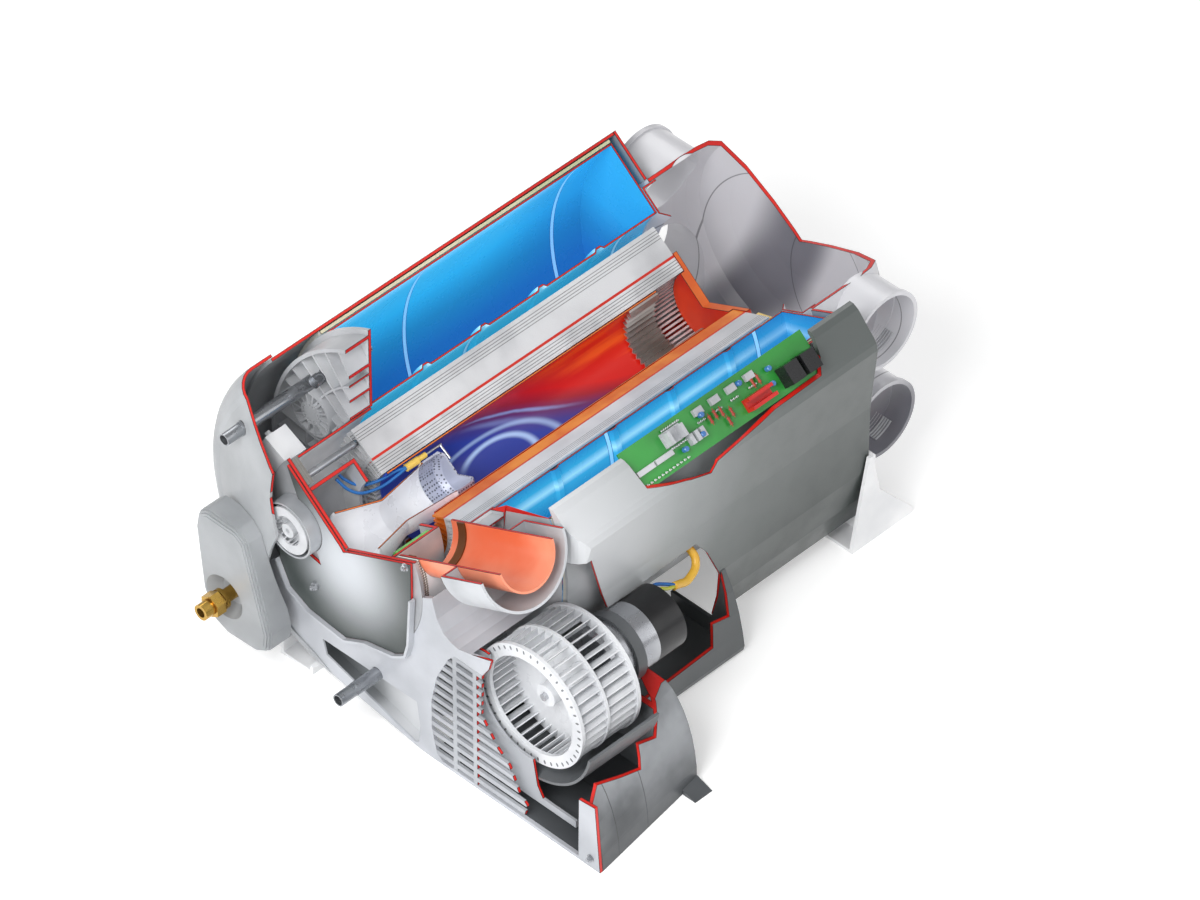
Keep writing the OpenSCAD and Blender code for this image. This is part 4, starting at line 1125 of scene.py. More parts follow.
class ShapeTree(NodeBuilder):
    """A geometry tree with named sizes that is run once and leaves a plain piece."""

    def __init__(self, name: str) -> None:
        """Makes the tree with one geometry going in and one coming out.

        Args:
            name: The name of the tree and of its piece.
        """
        super().__init__(bpy.data.node_groups.new(name, "GeometryNodeTree"))
        for way in ("INPUT", "OUTPUT"):
            self.tree.interface.new_socket("Geometry", in_out=way, socket_type="NodeSocketGeometry")
        self.name = name
        self.entry = self.node("NodeGroupInput", {}, {})
        self.sizes: dict[str, float] = {}

    def size(self, name: str, value: float) -> bpy.types.NodeSocket:
        """Adds a named input.

        Args:
            name: The input's name.
            value: The value that the modifier gets.

        Returns:
            The socket that gives the size inside the tree.
        """
        made = self.tree.interface.new_socket(name, in_out="INPUT", socket_type="NodeSocketFloat")
        self.sizes[made.identifier] = value
        return self.entry.outputs[name]

    def moved(self, geometry: bpy.types.NodeSocket, **values: object) -> bpy.types.NodeSocket:
        """Geometry moved, turned or scaled, with the inputs by name."""
        return self.node("GeometryNodeTransform", {}, {"Geometry": geometry, **values}).outputs["Geometry"]

    def drum(self, sides: int, radius: object, depth: object, rise: float = 0.0) -> bpy.types.NodeSocket:
        """Cylinder along Z.

        Args:
            sides: Number of sides.
            radius: Its radius, or the socket that gives it.
            depth: Its length, or the socket that gives it.
            rise: Height of its middle.

        Returns:
            The mesh.
        """
        made = self.node("GeometryNodeMeshCylinder", {},
                         {"Vertices": sides, "Radius": radius, "Depth": depth}).outputs["Mesh"]
        return self.moved(made, Translation=(0, 0, rise)) if rise else made

    def cone(self, sides: int, bottom: float, top: float, depth: float,
             rise: float) -> bpy.types.NodeSocket:
        """Cut cone along Z.

        Args:
            sides: Number of sides.
            bottom: Radius of its lower end.
            top: Radius of its upper end.
            depth: Its length.
            rise: Height of its middle.

        Returns:
            The mesh.
        """
        made = self.node("GeometryNodeMeshCone", {}, {
            "Vertices": sides, "Radius Top": top, "Radius Bottom": bottom, "Depth": depth})
        return self.moved(made.outputs["Mesh"], Translation=(0, 0, rise))

    def joined(self, *parts: bpy.types.NodeSocket) -> bpy.types.NodeSocket:
        """Several geometries as one.

        Args:
            parts: The geometries.

        Returns:
            The joined geometry.
        """
        made = self.node("GeometryNodeJoinGeometry", {}, {})
        for part in parts:
            self.tree.links.new(part, made.inputs[0])
        return made.outputs["Geometry"]

    def on_places(self, shape: bpy.types.NodeSocket) -> bpy.types.NodeSocket:
        """Copies of a shape on the incoming points, its Z along their facing and its X along their run.

        Args:
            shape: The shape that is repeated.

        Returns:
            The copies.
        """
        turned = None
        for name, settings in (("facing", {"axis": "Z"}), ("run", {"axis": "X", "pivot_axis": "Z"})):
            way = self.node("GeometryNodeInputNamedAttribute", {"data_type": "FLOAT_VECTOR"},
                            {"Name": name})
            values = {"Vector": way.outputs[0]} | ({"Rotation": turned} if turned else {})
            turned = self.node("FunctionNodeAlignRotationToVector", settings, values).outputs[0]
        return self.node("GeometryNodeInstanceOnPoints", {}, {
            "Points": self.entry.outputs["Geometry"], "Instance": shape,
            "Rotation": turned}).outputs["Instances"]

    def mesh(self, result: bpy.types.NodeSocket, material: bpy.types.Material,
             seed: bpy.types.Mesh) -> bpy.types.Mesh:
        """Ends the tree, runs it on a mesh and gives the plain result.

        Args:
            result: The geometry that the tree makes.
            material: Its material.
            seed: The mesh that goes in.

        Returns:
            The new mesh.
        """
        real = self.node("GeometryNodeRealizeInstances", {}, {"Geometry": result}).outputs["Geometry"]
        done = self.node("GeometryNodeSetMaterial", {}, {"Geometry": real, "Material": material})
        self.node("NodeGroupOutput", {}, {"Geometry": done.outputs["Geometry"]})
        host = bpy.data.objects.new(self.name, seed)
        bpy.context.scene.collection.objects.link(host)
        modifier = host.modifiers.new(self.name, "NODES")
        modifier.node_group = self.tree
        for identifier, value in self.sizes.items():
            modifier[identifier] = value
        ready = host.evaluated_get(bpy.context.evaluated_depsgraph_get())
        made = bpy.data.meshes.new_from_object(ready)
        host.modifiers.remove(modifier)
        bpy.data.objects.remove(host)
        return made

    def scatter(self, shape: bpy.types.NodeSocket, spots: Sequence[Spot], material: bpy.types.Material,
                body: str, slot: str) -> None:
        """Repeats a shape on places and adds the result as the tree's piece.

        Args:
            shape: The shape.
            spots: The places.
            material: The piece's material.
            body: The CAD body that it moves with.
            slot: Name of a material slot; not used, as add_piece ignores it.
        """
        mesh = self.mesh(self.on_places(shape), material, spots_mesh(spots))
        add_piece(self.name, mesh, material, body, slot)


@dataclass(frozen=True)
class SawnSkin:
    """Painted skins over the faces where walls are sawn open, with a dark line along each edge.

    Attributes:
        proud: How far a skin stands out of its face.
        sunk: How far it reaches into the wall.
        line: Width of the dark line.
        sliver: Area under which a face is left out.
        digits: Decimals of a metre to which two corners have to agree to be one.
        flat: Largest turn between two faces that are joined, in degrees.
    """

    proud: float = 0.12 * MM
    sunk: float = 0.2 * MM
    line: float = 0.35 * MM
    sliver: float = 1e-10
    digits: int = 6
    flat: float = 1.0

    def sheet(self, node: str, test: FaceTest) -> bmesh.types.BMesh:
        """Copies the sawn faces of a node and joins them.

        Args:
            node: The CAD node.
            test: Says from a face's middle and direction whether it is sawn.

        Returns:
            The joined faces.
        """
        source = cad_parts[node].data
        sheet = bmesh.new()
        corners: dict[tuple[float, ...], bmesh.types.BMVert] = {}
        for face in source.polygons:
            if face.area < self.sliver or not test(face.center, face.normal):
                continue
            ring = []
            for index in face.vertices:
                place = source.vertices[index].co
                key = tuple(round(value, self.digits) for value in place)
                if key not in corners:
                    corners[key] = sheet.verts.new(place)
                ring.append(corners[key])
            if len(set(ring)) == len(ring) and sheet.faces.get(ring) is None:
                sheet.faces.new(ring)
        bmesh.ops.dissolve_limit(sheet, angle_limit=math.radians(self.flat), verts=sheet.verts[:],
                                 edges=sheet.edges[:], delimit={"NORMAL"})
        return sheet

    def add(self, sheet: bmesh.types.BMesh, places: list[Vector], faces: list[list[int]],
            ink: list[float]) -> None:
        """Adds a closed skin over the sheet to lists of points and faces.

        Args:
            sheet: The joined faces, freed at the end.
            places: Points so far.
            faces: Faces so far.
            ink: One for each dark face so far, else zero.
        """
        edged = set()
        if sheet.faces:
            made = bmesh.ops.inset_region(sheet, faces=sheet.faces[:], thickness=self.line, depth=0,
                                          use_boundary=True, use_even_offset=True)
            edged = set(made["faces"])
        sheet.normal_update()
        sheet.verts.index_update()
        base, count = len(places), len(sheet.verts)
        places += [vert.co + vert.normal * self.proud for vert in sheet.verts]
        places += [vert.co - vert.normal * self.sunk for vert in sheet.verts]
        for face in sheet.faces:
            ring = [base + vert.index for vert in face.verts]
            dark = 1.0 if face in edged else 0.0
            faces += [ring, [index + count for index in reversed(ring)]]
            ink += [dark, dark]
        for edge in sheet.edges:
            if len(edge.link_loops) == 1:
                loop = edge.link_loops[0]
                first, second = base + loop.vert.index, base + loop.link_loop_next.vert.index
                faces.append([second, first, first + count, second + count])
                ink.append(1.0)
        sheet.free()

    def build(self, name: str, tests: dict[str, FaceTest], material: bpy.types.Material) -> None:
        """Makes one skin over several nodes.

        Args:
            name: The piece's name.
            tests: The test of each node.
            material: The skin's material.
        """
        places: list[Vector] = []
        faces: list[list[int]] = []
        ink: list[float] = []
        for node, test in tests.items():
            self.add(self.sheet(node, test), places, faces, ink)
        made = bpy.data.meshes.new(name)
        made.from_pydata(places, [], faces)
        made.attributes.new("ink", "FLOAT", "FACE").data.foreach_set("value", ink)
        add_piece(name, made, material, ROOT, "flange_red")


def worn(finish: Finish, *nodes: str) -> Finish:
    """A dataclass field that holds a finish and names the CAD nodes that wear it."""
    return field(default=finish, metadata={"nodes": nodes})


@dataclass
class Dressed:
    """A sub-assembly whose CAD nodes keep their shape and get a finish."""

    def build(self, wardrobe: Wardrobe) -> None:
        """Dresses the nodes that each finish names."""
        for item in fields(self):
            wardrobe.dress(getattr(self, item.name), *item.metadata["nodes"])


@dataclass
class Casing(Dressed):
    """Barrel casing, its front cap and rear plate, and the feet."""

    shell: Finish = worn(
        Finish("casing_grey", Surface.PLASTIC, srgb(174, 177, 180), srgb(154, 157, 160), 0.42, coat=0.15),
        "casing_shell", "casing_front_cap")
    inside: Finish = worn(
        Finish("casing_rear", Surface.PLASTIC, srgb(150, 153, 156), srgb(128, 131, 134), 0.45),
        "casing_rear_plate")
    wool: Finish = worn(
        Finish("jacket_wool", Surface.WOOL, srgb(206, 204, 196), srgb(180, 178, 168), 0.9),
        "insulation_jacket")
    foot: Finish = worn(
        Finish("foot_white", Surface.PLASTIC, srgb(246, 246, 247), srgb(226, 227, 229), 0.4),
        "front_foot", "rear_feet")


@dataclass
class Tank(Dressed):
    """Ring-shaped water tank with its ribbed cap, neck and pipes."""

    # Water blue with painted highlights, painted shade and a painted glow.
    water: Finish = worn(
        WaterBlue("tank_water_blue", Surface.GLOSS, srgb(48, 168, 210), srgb(32, 102, 166), 0.3, coat=0.2,
                  light=0.62),
        "tank_outer_wall", "tank_inner_wall", "tank_rear_ring")
    ribs: Finish = worn(
        Finish("cap_ribs", Surface.PLASTIC, srgb(205, 207, 210), srgb(170, 172, 176), 0.4),
        "tank_front_cap")
    # Painted glow: the steel neck gives off faint light of its own, though it is no lamp.
    neck: Finish = worn(
        PaintedGlowFinish("neck_steel", Surface.STEEL, srgb(232, 232, 234), srgb(196, 197, 200), 0.38, 0.1,
                  light=0.16),
        "tank_neck")
    pipe: Finish = worn(
        Finish("pipe_steel", Surface.STEEL, srgb(176, 179, 183), srgb(132, 135, 140), 0.28, 0.85),
        "warm_water_pipe", "vent_pipe", "cold_water_pipe")


@dataclass
class Exchanger(Dressed):
    """Finned exchanger with the combustion tube and what sits in its rear."""

    cast: Finish = worn(
        ExchangerCast("exchanger_cast", Surface.CAST, srgb(222, 223, 225), srgb(190, 191, 194), 0.4, 0.25),
        "heat_exchanger")
    # Painted flame on the tube's inner wall, with a faint painted glow.
    flame: Finish = worn(
        FlamePaint("chamber_flame", Surface.GLOSS, srgb(215, 34, 20), srgb(160, 20, 20), 0.4, light=0.32),
        "combustion_tube")
    rear: Finish = worn(
        Finish("chamber_rear_red", Surface.PAINT, srgb(222, 62, 26), srgb(190, 30, 18), 0.45),
        "chamber_rear_wall")
    swirl: Finish = worn(
        Finish("swirl_steel", Surface.STEEL, srgb(190, 186, 182), srgb(150, 140, 132), 0.35, 0.7),
        "turbulator_ring")
    sensor: Finish = worn(
        Finish("sensor_yellow", Surface.PLASTIC, srgb(236, 206, 120), srgb(214, 176, 88), 0.4),
        "heat_sensor")


@dataclass
class Burner(Dressed):
    """Burner at the barrel's front with its electrode, gas pipe and combustion air blower."""

    plate: Finish = worn(
        Finish("burner_plate", Surface.PAINT, srgb(190, 192, 195), srgb(150, 152, 156), 0.4, 0.3),
        "burner_flange")
    # Painted pool of light on the burner cover, with painted shade away from it.
    front: Finish = worn(
        PaintedLightPoolFinish("burner_cover_grey", Surface.PLASTIC, srgb(196, 200, 205), srgb(66, 72, 71), 0.42),
        "burner_cover")
    mat: Finish = worn(
        WovenFinish("burner_mat", Surface.WOOL, srgb(226, 224, 218), srgb(120, 118, 114), 0.9),
        "burner_gasket")
    cup: Finish = worn(
        Finish("burner_cast", Surface.CAST, srgb(205, 206, 208), srgb(160, 162, 165), 0.4, 0.3),
        "burner_cup")
    # Painted glow: the mixing tube gives off faint light of its own, though it is no lamp.
    tube: Finish = worn(
        PaintedGlowFinish("mixing_steel", Surface.STEEL, srgb(234, 235, 238), srgb(200, 201, 206), 0.32, 0.15,
                  light=0.14),
        "mixing_tube")
    head: Finish = worn(
        DottedFinish("burner_head_steel", Surface.STEEL, srgb(186, 190, 206), srgb(120, 126, 160), 0.35,
                     0.3),
        "burner_head")
    ceramic: Finish = worn(
        Finish("electrode_ceramic", Surface.GLOSS, srgb(236, 200, 96), srgb(220, 176, 70), 0.3),
        "electrode_insulator")
    rod: Finish = worn(
        Finish("electrode_steel", Surface.STEEL, srgb(200, 202, 205), srgb(150, 152, 156), 0.3, 0.9),
        "electrode_rod")
    gas: Finish = worn(
        Finish("gas_green", Surface.PAINT, srgb(120, 190, 90), srgb(80, 150, 64), 0.35),
        "gas_pipe")
    box: Finish = worn(
        Finish("air_housing_cast", Surface.CAST, srgb(196, 199, 203), srgb(150, 153, 158), 0.38, 0.3),
        "combustion_air_housing")
    puff: Finish = worn(
        Finish("impeller_white", Surface.PLASTIC, srgb(216, 218, 221), srgb(186, 188, 192), 0.4),
        "combustion_impeller")
    switch: Finish = worn(
        Finish("switch_white", Surface.PLASTIC, srgb(228, 229, 231), srgb(206, 207, 210), 0.38),
        "temperature_switch")


@dataclass
class Flue(Dressed):
    """Exhaust duct inside its combustion air socket, and the gas inlet."""

    salmon: Finish = worn(
        Finish("exhaust_salmon", Surface.PAINT, srgb(240, 150, 118), srgb(232, 112, 72), 0.4, coat=0.2),
        "exhaust_duct")
    socket: Finish = worn(
        Finish("socket_grey", Surface.PLASTIC, srgb(196, 199, 203), srgb(160, 163, 168), 0.4),
        "air_intake_socket")
    band: Finish = worn(
        Finish("clamp_brown", Surface.PAINT, srgb(120, 70, 22), srgb(84, 46, 12), 0.4),
        "exhaust_clamp")
    cover: Finish = worn(
        Finish("gas_cover_grey", Surface.PLASTIC, srgb(166, 169, 172), srgb(144, 147, 150), 0.42),
        "gas_cover")
    brass: Finish = worn(
        Finish("fitting_brass", Surface.STEEL, srgb(206, 168, 84), srgb(170, 130, 56), 0.25, 0.9),
        "gas_fitting")


@dataclass
class Blower(Dressed):
    """Warm air blower: housings, wheel and motor."""

    # Painted shade in the hand pocket of the front housing.
    housing: Finish = worn(
        PocketPaintedShadeFinish("housing_light", Surface.PLASTIC, srgb(190, 193, 199), srgb(166, 169, 175), 0.4,
                     coat=0.1),
        "front_housing")
    # Painted shade darkens the side wall toward the bottom.
    side: Finish = worn(
        SeamedFinish("housing_side", Surface.PLASTIC, srgb(158, 161, 165), srgb(72, 75, 78), 0.42),
        "fan_housing")
    grille: Finish = worn(
        Finish("grille_grey", Surface.PLASTIC, srgb(176, 179, 184), srgb(140, 143, 148), 0.4),
        "intake_grille", "fan_cheek")
    scroll: Finish = worn(
        Finish("scroll_dark", Surface.PLASTIC, srgb(108, 111, 114), srgb(84, 87, 90), 0.45),
        "fan_scroll", "motor_bracket")
    wheel: Finish = worn(
        Finish("wheel_white", Surface.PLASTIC, srgb(222, 224, 227), srgb(196, 198, 202), 0.32),
        "fan_wheel")
    steel: Finish = worn(
        Finish("motor_steel", Surface.STEEL, srgb(202, 204, 208), srgb(160, 162, 167), 0.28, 0.8),
        "fan_shaft", "fan_motor", "housing_screws")
    black: Finish = worn(
        Finish("motor_black", Surface.PLASTIC, srgb(28, 28, 30), srgb(18, 18, 20), 0.35),
        "motor_end_cap")


@dataclass
class Electronics(Dressed):
    """Electronics cover, the housing under it and the circuit board."""

    # Painted light at the cover's front and painted shade toward its rear and bottom.
    cover: Finish = worn(
        ShadedCover("electronics_cover_grey", Surface.PLASTIC, srgb(104, 109, 108), srgb(62, 68, 66), 0.4,
                    coat=0.15),
        "electronics_cover")
    # Painted light at the housing's front and painted shade toward its rear and bottom.
    lower: Finish = worn(
        ShadedCover("lower_housing_grey", Surface.PLASTIC, srgb(100, 103, 105), srgb(66, 70, 70), 0.45),
        "lower_housing")
    board: Finish = worn(
        Finish("board_green", Surface.GLOSS, srgb(48, 150, 58), srgb(36, 120, 46), 0.35, coat=0.3),
        "circuit_board")
    relay: Finish = worn(
        Finish("relay_black", Surface.PLASTIC, srgb(34, 34, 36), srgb(22, 22, 24), 0.3),
        "relays")
    parts: Finish = worn(
        Finish("board_parts_silver", Surface.PLASTIC, srgb(196, 198, 202), srgb(160, 162, 166), 0.35),
        "board_parts")
    fuse: Finish = worn(
        Finish("fuse_red", Surface.PLASTIC, srgb(206, 40, 34), srgb(176, 28, 24), 0.35),
        "fuse_holder")
    bracket: Finish = worn(
        Finish("bracket_steel", Surface.STEEL, srgb(176, 178, 182), srgb(140, 142, 146), 0.35, 0.8),
        "board_brackets")


@dataclass
class Outlets(Dressed):
    """Warm air distributor with its stubs and the flow ring."""

    # Painted highlights, painted shade and a faint painted glow on the silver moulding.
    pot: Finish = worn(
        SilverPot("distributor_silver", Surface.PLASTIC, srgb(208, 208, 212), srgb(104, 104, 112), 0.34,
                  coat=0.2, light=0.1),
        "air_distributor", "flow_ring")


@dataclass
class SawnWalls:
    """Paint on every wall that the cutaway saws through.

    Attributes:
        red: Paint of most cuts.
        wool: Paint of the cut jacket.
        hot: Paint of the cut walls round the flame.
        sawn_top: Height under which the electronics cover is sawn.
        sawn_floor: Height over which the blower's side wall is sawn.
        broken_floor: Height over which the front housing is broken open.
        seat: Height over which the lower housing is sawn.
        mouth: Radius of the inlet's round mouth as a share of the wheel's.
        broken: How far across the wheel the front housing is broken open.
        bar_ends: Share of the grille's breadth from its far side in which no bar is sawn.
        bar_square: Part of a direction toward the near side over which a face is a bar's end.
        side_reach: How far the side wall is sawn from the wheel's near side.
        rim_square: Part of a direction up to which a face of the cap's opening stands across.
        rim_out: Part of its direction up to which it doesn't look away from the axis.
        square: Part of a direction from which a wall's face stands square across the barrel.
    """

    red: Finish = SawnFinish("sawn_red", Surface.PAINT, srgb(216, 36, 26), srgb(196, 26, 20), 0.45)
    wool: Finish = SawnFinish("sawn_wool", Surface.WOOL, srgb(214, 206, 176), srgb(186, 190, 150), 0.9)
    hot: Finish = SawnFinish("sawn_hot", Surface.PAINT, srgb(226, 120, 44), srgb(206, 84, 28), 0.45)
    sawn_top: float = 214 * MM
    sawn_floor: float = 44 * MM
    broken_floor: float = 5.5 * MM
    seat: float = 17.6 * MM
    mouth: float = 0.9
    broken: float = 0.85
    bar_ends: float = 0.3
    bar_square: float = 0.3
    side_reach: float = 55 * MM
    rim_square: float = 0.02
    rim_out: float = 0.9
    square: float = 0.999

    def build(self, wardrobe: Wardrobe) -> None:
        """Makes the skins of each group of walls.

        Args:
            wardrobe: The finishes.
        """
        def cut(*nodes: str) -> dict[str, FaceTest]:
            """The test of the barrel's two planes for each node."""
            return dict.fromkeys(nodes, Barrel.from_frame().on_cut)

        skins = (
            ("sawn_casing", self.red, cut("casing_shell", "casing_rear_plate")
             | {"casing_front_cap": self.cap}),
            ("sawn_jacket", self.wool, cut("insulation_jacket")),
            ("sawn_tank", self.red, cut("tank_outer_wall", "tank_inner_wall", "tank_rear_ring", "tank_neck")
             | {"tank_front_cap": self.cap_wall}),
            ("sawn_burner", self.red, cut("burner_flange", "burner_cup") | {"burner_cover": self.plate}),
            ("sawn_chamber", self.hot, cut("combustion_tube", "chamber_rear_wall", "mixing_tube")),
            ("sawn_flue", self.red, cut("exhaust_duct", "air_intake_socket")),
            ("sawn_distributor", self.red, cut("air_distributor", "flow_ring")),
            ("sawn_blower", self.red, {"front_housing": self.front, "fan_housing": self.wall,
                                  "fan_cheek": self.plate, "intake_grille": self.bars}),
            ("sawn_cover", self.red, {"electronics_cover": self.cover, "lower_housing": self.lower}))
        for name, finish, tests in skins:
            SawnSkin().build(name, tests, wardrobe.material(finish))

    def cap(self, place: Vector, facing: Vector) -> bool:
        """Edges of the front cap's opening, which run along the barrel.

        Args:
            place: The face's middle.
            facing: The face's direction.

        Returns:
            True on a sawn face.
        """
        barrel = Barrel.from_frame()
        out = Vector((0, place.y - barrel.axis_y, place.z - barrel.axis_z)).normalized()
        edge = abs(facing.x) < self.rim_square and abs(facing.dot(out)) < self.rim_out
        return edge and place.z > barrel.axis_z

    def cap_wall(self, place: Vector, facing: Vector) -> bool:
        """The ribbed cap's upright cut and its cuts on the barrel's planes.

        Args:
            place: The face's middle.
            facing: The face's direction.

        Returns:
            True on a sawn face.
        """
        barrel = Barrel.from_frame()
        inside = place.z > barrel.axis_z and place.y < barrel.axis_y + barrel.radius / 2
        return barrel.on_cut(place, facing) or (abs(facing.y) > SQUARE_ON and inside)

    def plate(self, place: Vector, facing: Vector) -> bool:
        """Edges of a flat plate that stands across the barrel, but not its round mouth.

        Args:
            place: The face's middle.
            facing: The face's direction.

        Returns:
            True on a sawn face.
        """
        low, high = box("fan_wheel")
        away = place - front_of("fan_wheel")
        mouth = math.hypot(away.y, away.z) < (high.z - low.z) / 2 * self.mouth
        return abs(facing.x) < EDGE_ON and not mouth and place.z > low.z / 2

    def front(self, place: Vector, facing: Vector) -> bool:
        """Broken edges of the front housing round the wheel.

        Args:
            place: The face's middle.
            facing: The face's direction.

        Returns:
            True on a sawn face.
        """
        low, high = box("fan_wheel")
        near = place.y < low.y + (high.y - low.y) * self.broken
        return abs(facing.x) < EDGE_ON and near and place.z > self.broken_floor

    def bars(self, place: Vector, facing: Vector) -> bool:
        """Ends of the grille's bars beside the wheel.

        Args:
            place: The face's middle.
            facing: The face's direction.

        Returns:
            True on a sawn face.
        """
        low, high = box("intake_grille")
        near = place.y < high.y - (high.y - low.y) * self.bar_ends
        return facing.y < -self.bar_square and abs(facing.x) < EDGE_ON and near

    def along_wall(self, facing: Vector) -> bool:
        """Whether a face is the edge of a near side's wall, and not square across the barrel."""
        return abs(facing.y) < EDGE_ON and abs(facing.x) < self.square

    def wall(self, place: Vector, facing: Vector) -> bool:
        """Sawn edge of the blower's side wall."""
        low, _ = box("fan_wheel")
        return self.along_wall(facing) and place.z > self.sawn_floor and place.y < low.y + self.side_reach

    def lower(self, place: Vector, facing: Vector) -> bool:
        """Sawn edge of the housing under the cover."""
        return self.along_wall(facing) and place.z > self.seat

    def cover(self, place: Vector, facing: Vector) -> bool:
        """Sawn edges of the cover over the board and over the motor."""
        level = abs(facing.z) > SQUARE_ON and place.z < self.sawn_floor
        return self.along_wall(facing) and place.z < self.sawn_top and not level


FASTENER_STEEL = Finish("fastener_steel", Surface.STEEL, srgb(206, 208, 212), srgb(150, 153, 158), 0.3, 0.7)


@dataclass
class Fasteners:
    """Hexagon nuts of the housings and the burner cover, and the nut on the wheel.

    Attributes:
        steel: Their finish.
        housing: Half the width of a housing nut's washer.
        hub: The same of the nut on the wheel.
        head: Half the head's width as a share of the washer's, as are the next five.
        stud: Radius of the stud.
        thick: Height of the head.
        thin: Height of the washer.
        head_rise: Height of the head's middle.
        stud_rise: Height of the stud's middle.
        proud: How far a nut's washer stands in front of its plate.
        cover_place: Radius and turn of the nut on the burner cover.
        corner: Place of the corner nut: in front of the barrel, from the housing's near side, and up.
        hub_back: How far behind the shaft's front the wheel's nut sits.
    """

    steel: Finish = FASTENER_STEEL
    housing: float = 3.2 * MM
    hub: float = 5.5 * MM
    head: float = 0.72
    stud: float = 0.4
    thick: float = 0.7
    thin: float = 0.22
    head_rise: float = 0.4
    stud_rise: float = 0.8
    proud: float = 0.3 * MM
    cover_place: tuple[float, float] = (70 * MM, 157)
    corner: tuple[float, float, float] = (-0.4 * MM, 9 * MM, 9.6 * MM)
    hub_back: float = 13.5 * MM

    def build(self, wardrobe: Wardrobe) -> None:
        """Makes the housings' nuts and the wheel's nut.

        Args:
            wardrobe: The finishes.
        """
        barrel = Barrel.from_frame()
        cover = barrel.point(0, *self.cover_place)
        cover.x = box("burner_cover")[0].x - self.proud
        before, aside, up = self.corner
        corner = Vector((barrel.front_x + before, box("front_housing")[0].y + aside, up))
        places = (cover, front_of("housing_screws", -self.proud), corner)
        self.add_nuts(wardrobe, "housing_nuts", places, self.housing, ROOT)
        hub = front_of("fan_wheel")
        hub.x = box("fan_shaft")[0].x + self.hub_back
        self.add_nuts(wardrobe, "wheel_nut", (hub,), self.hub, BLOWER)

    def add_nuts(self, wardrobe: Wardrobe, name: str, places: Sequence[Vector], radius: float,
                 body: str) -> None:
        """Adds hexagon nuts on washers, each with the end of its stud.

        Args:
            wardrobe: The finishes.
            name: The piece's name.
            places: Where they sit, facing the front.
            radius: Half the washer's width.
            body: The CAD body that they move with.
        """
        tree = ShapeTree(name)
        wide = tree.size("Washer radius", radius)
        narrow = tree.size("Head radius", radius * self.head)
        tip = tree.size("Stud radius", radius * self.stud)
        thick = tree.size("Head height", radius * self.thick)
        thin = tree.size("Washer height", radius * self.thin)
        nut = tree.joined(tree.drum(20, wide, thin), tree.drum(6, narrow, thick, radius * self.head_rise),
                          tree.drum(12, tip, thick, radius * self.stud_rise))
        spots = [Spot(place, FRONTWARD, ACROSS) for place in places]
        tree.scatter(nut, spots, wardrobe.material(self.steel), body, "bright_steel")


@dataclass
class WheelMarks:
    """Oval marks where the blades end in the wheel's front ring.

    Attributes:
        grey: Their finish.
        count: Number of marks.
        ring: Radius of their ring as a share of the wheel's.
        radius: Half a mark's length.
        oval: Its width as a share of its length.
        thick: Its thickness.
        proud: How far its middle stands in front of the ring.
    """

    grey: Finish = Finish("wheel_mark_grey", Surface.PLASTIC, srgb(120, 123, 127), srgb(92, 95, 99), 0.45)
    count: int = 44
    ring: float = 0.935
    radius: float = 1.7 * MM
    oval: float = 0.5
    thick: float = 0.3 * MM
    proud: float = 0.05 * MM

    def build(self, wardrobe: Wardrobe) -> None:
        """Makes the ring of marks.

        Args:
            wardrobe: The finishes.
        """
        low, high = box("fan_wheel")
        hub = front_of("fan_wheel", -self.proud)
        radius = (high.z - low.z) / 2 * self.ring
        turns = (2 * math.pi * index / self.count for index in range(self.count))
        ways = [Vector((0, math.cos(turn), math.sin(turn))) for turn in turns]
        tree = ShapeTree("wheel_marks")
        disc = tree.drum(12, tree.size("Mark radius", self.radius), self.thick)
        oval = tree.moved(disc, Scale=(1, self.oval, 1))
        spots = [Spot(hub + out * radius, FRONTWARD, out) for out in ways]
        tree.scatter(oval, spots, wardrobe.material(self.grey), BLOWER, "white_plastic")


@dataclass
class DuctRibs:
    """Short ribs round the floor of the near stubs, one behind the other.

    Attributes:
        light: Their finish.
        count: Number of ribs in a stub.
        depth: How far inside the stub's mouth the first one lies.
        step: Distance from one to the next.
        radius: Half a rib's thickness.
        bore: Radius of the arc that they follow.
        start: Where the arc starts, in degrees.
        sweep: How far it runs, in degrees.
        stubs: Middle of each near stub, along the barrel and up.
    """

    light: Finish = Finish("duct_rib_grey", Surface.PLASTIC, srgb(214, 215, 218), srgb(170, 171, 176), 0.4)
    count: int = 7
    depth: float = 12 * MM
    step: float = 2.3 * MM
    radius: float = 0.9 * MM
    bore: float = 30.3 * MM
    start: float = -82
    sweep: float = 36
    stubs: tuple[tuple[float, float], ...] = ((227.6 * MM, 161.0 * MM), (227.6 * MM, 73.0 * MM))

    def build(self, wardrobe: Wardrobe) -> None:
        """Makes the ribs of both stubs.

        Args:
            wardrobe: The finishes.
        """
        mouth = box("air_distributor")[0].y
        spots = [Spot(Vector((x, mouth + self.depth + index * self.step, z)), NEARWARD)
                 for x, z in self.stubs for index in range(self.count)]
        tree = ShapeTree("duct_ribs")
        thick = tree.size("Rib radius", self.radius)
        arc = tree.node("GeometryNodeCurveArc", {"mode": "RADIUS"}, {
            "Resolution": 14, "Radius": tree.size("Stub radius", self.bore),
            "Start Angle": math.radians(self.start), "Sweep Angle": math.radians(self.sweep)})
        ring = tree.node("GeometryNodeCurvePrimitiveCircle", {"mode": "RADIUS"},
                         {"Resolution": 8, "Radius": thick})
        bar = tree.node("GeometryNodeCurveToMesh", {}, {
            "Curve": arc.outputs["Curve"], "Profile Curve": ring.outputs["Curve"], "Fill Caps": True})
        tree.scatter(bar.outputs["Mesh"], spots, wardrobe.material(self.light), ROOT, "distributor_grey")


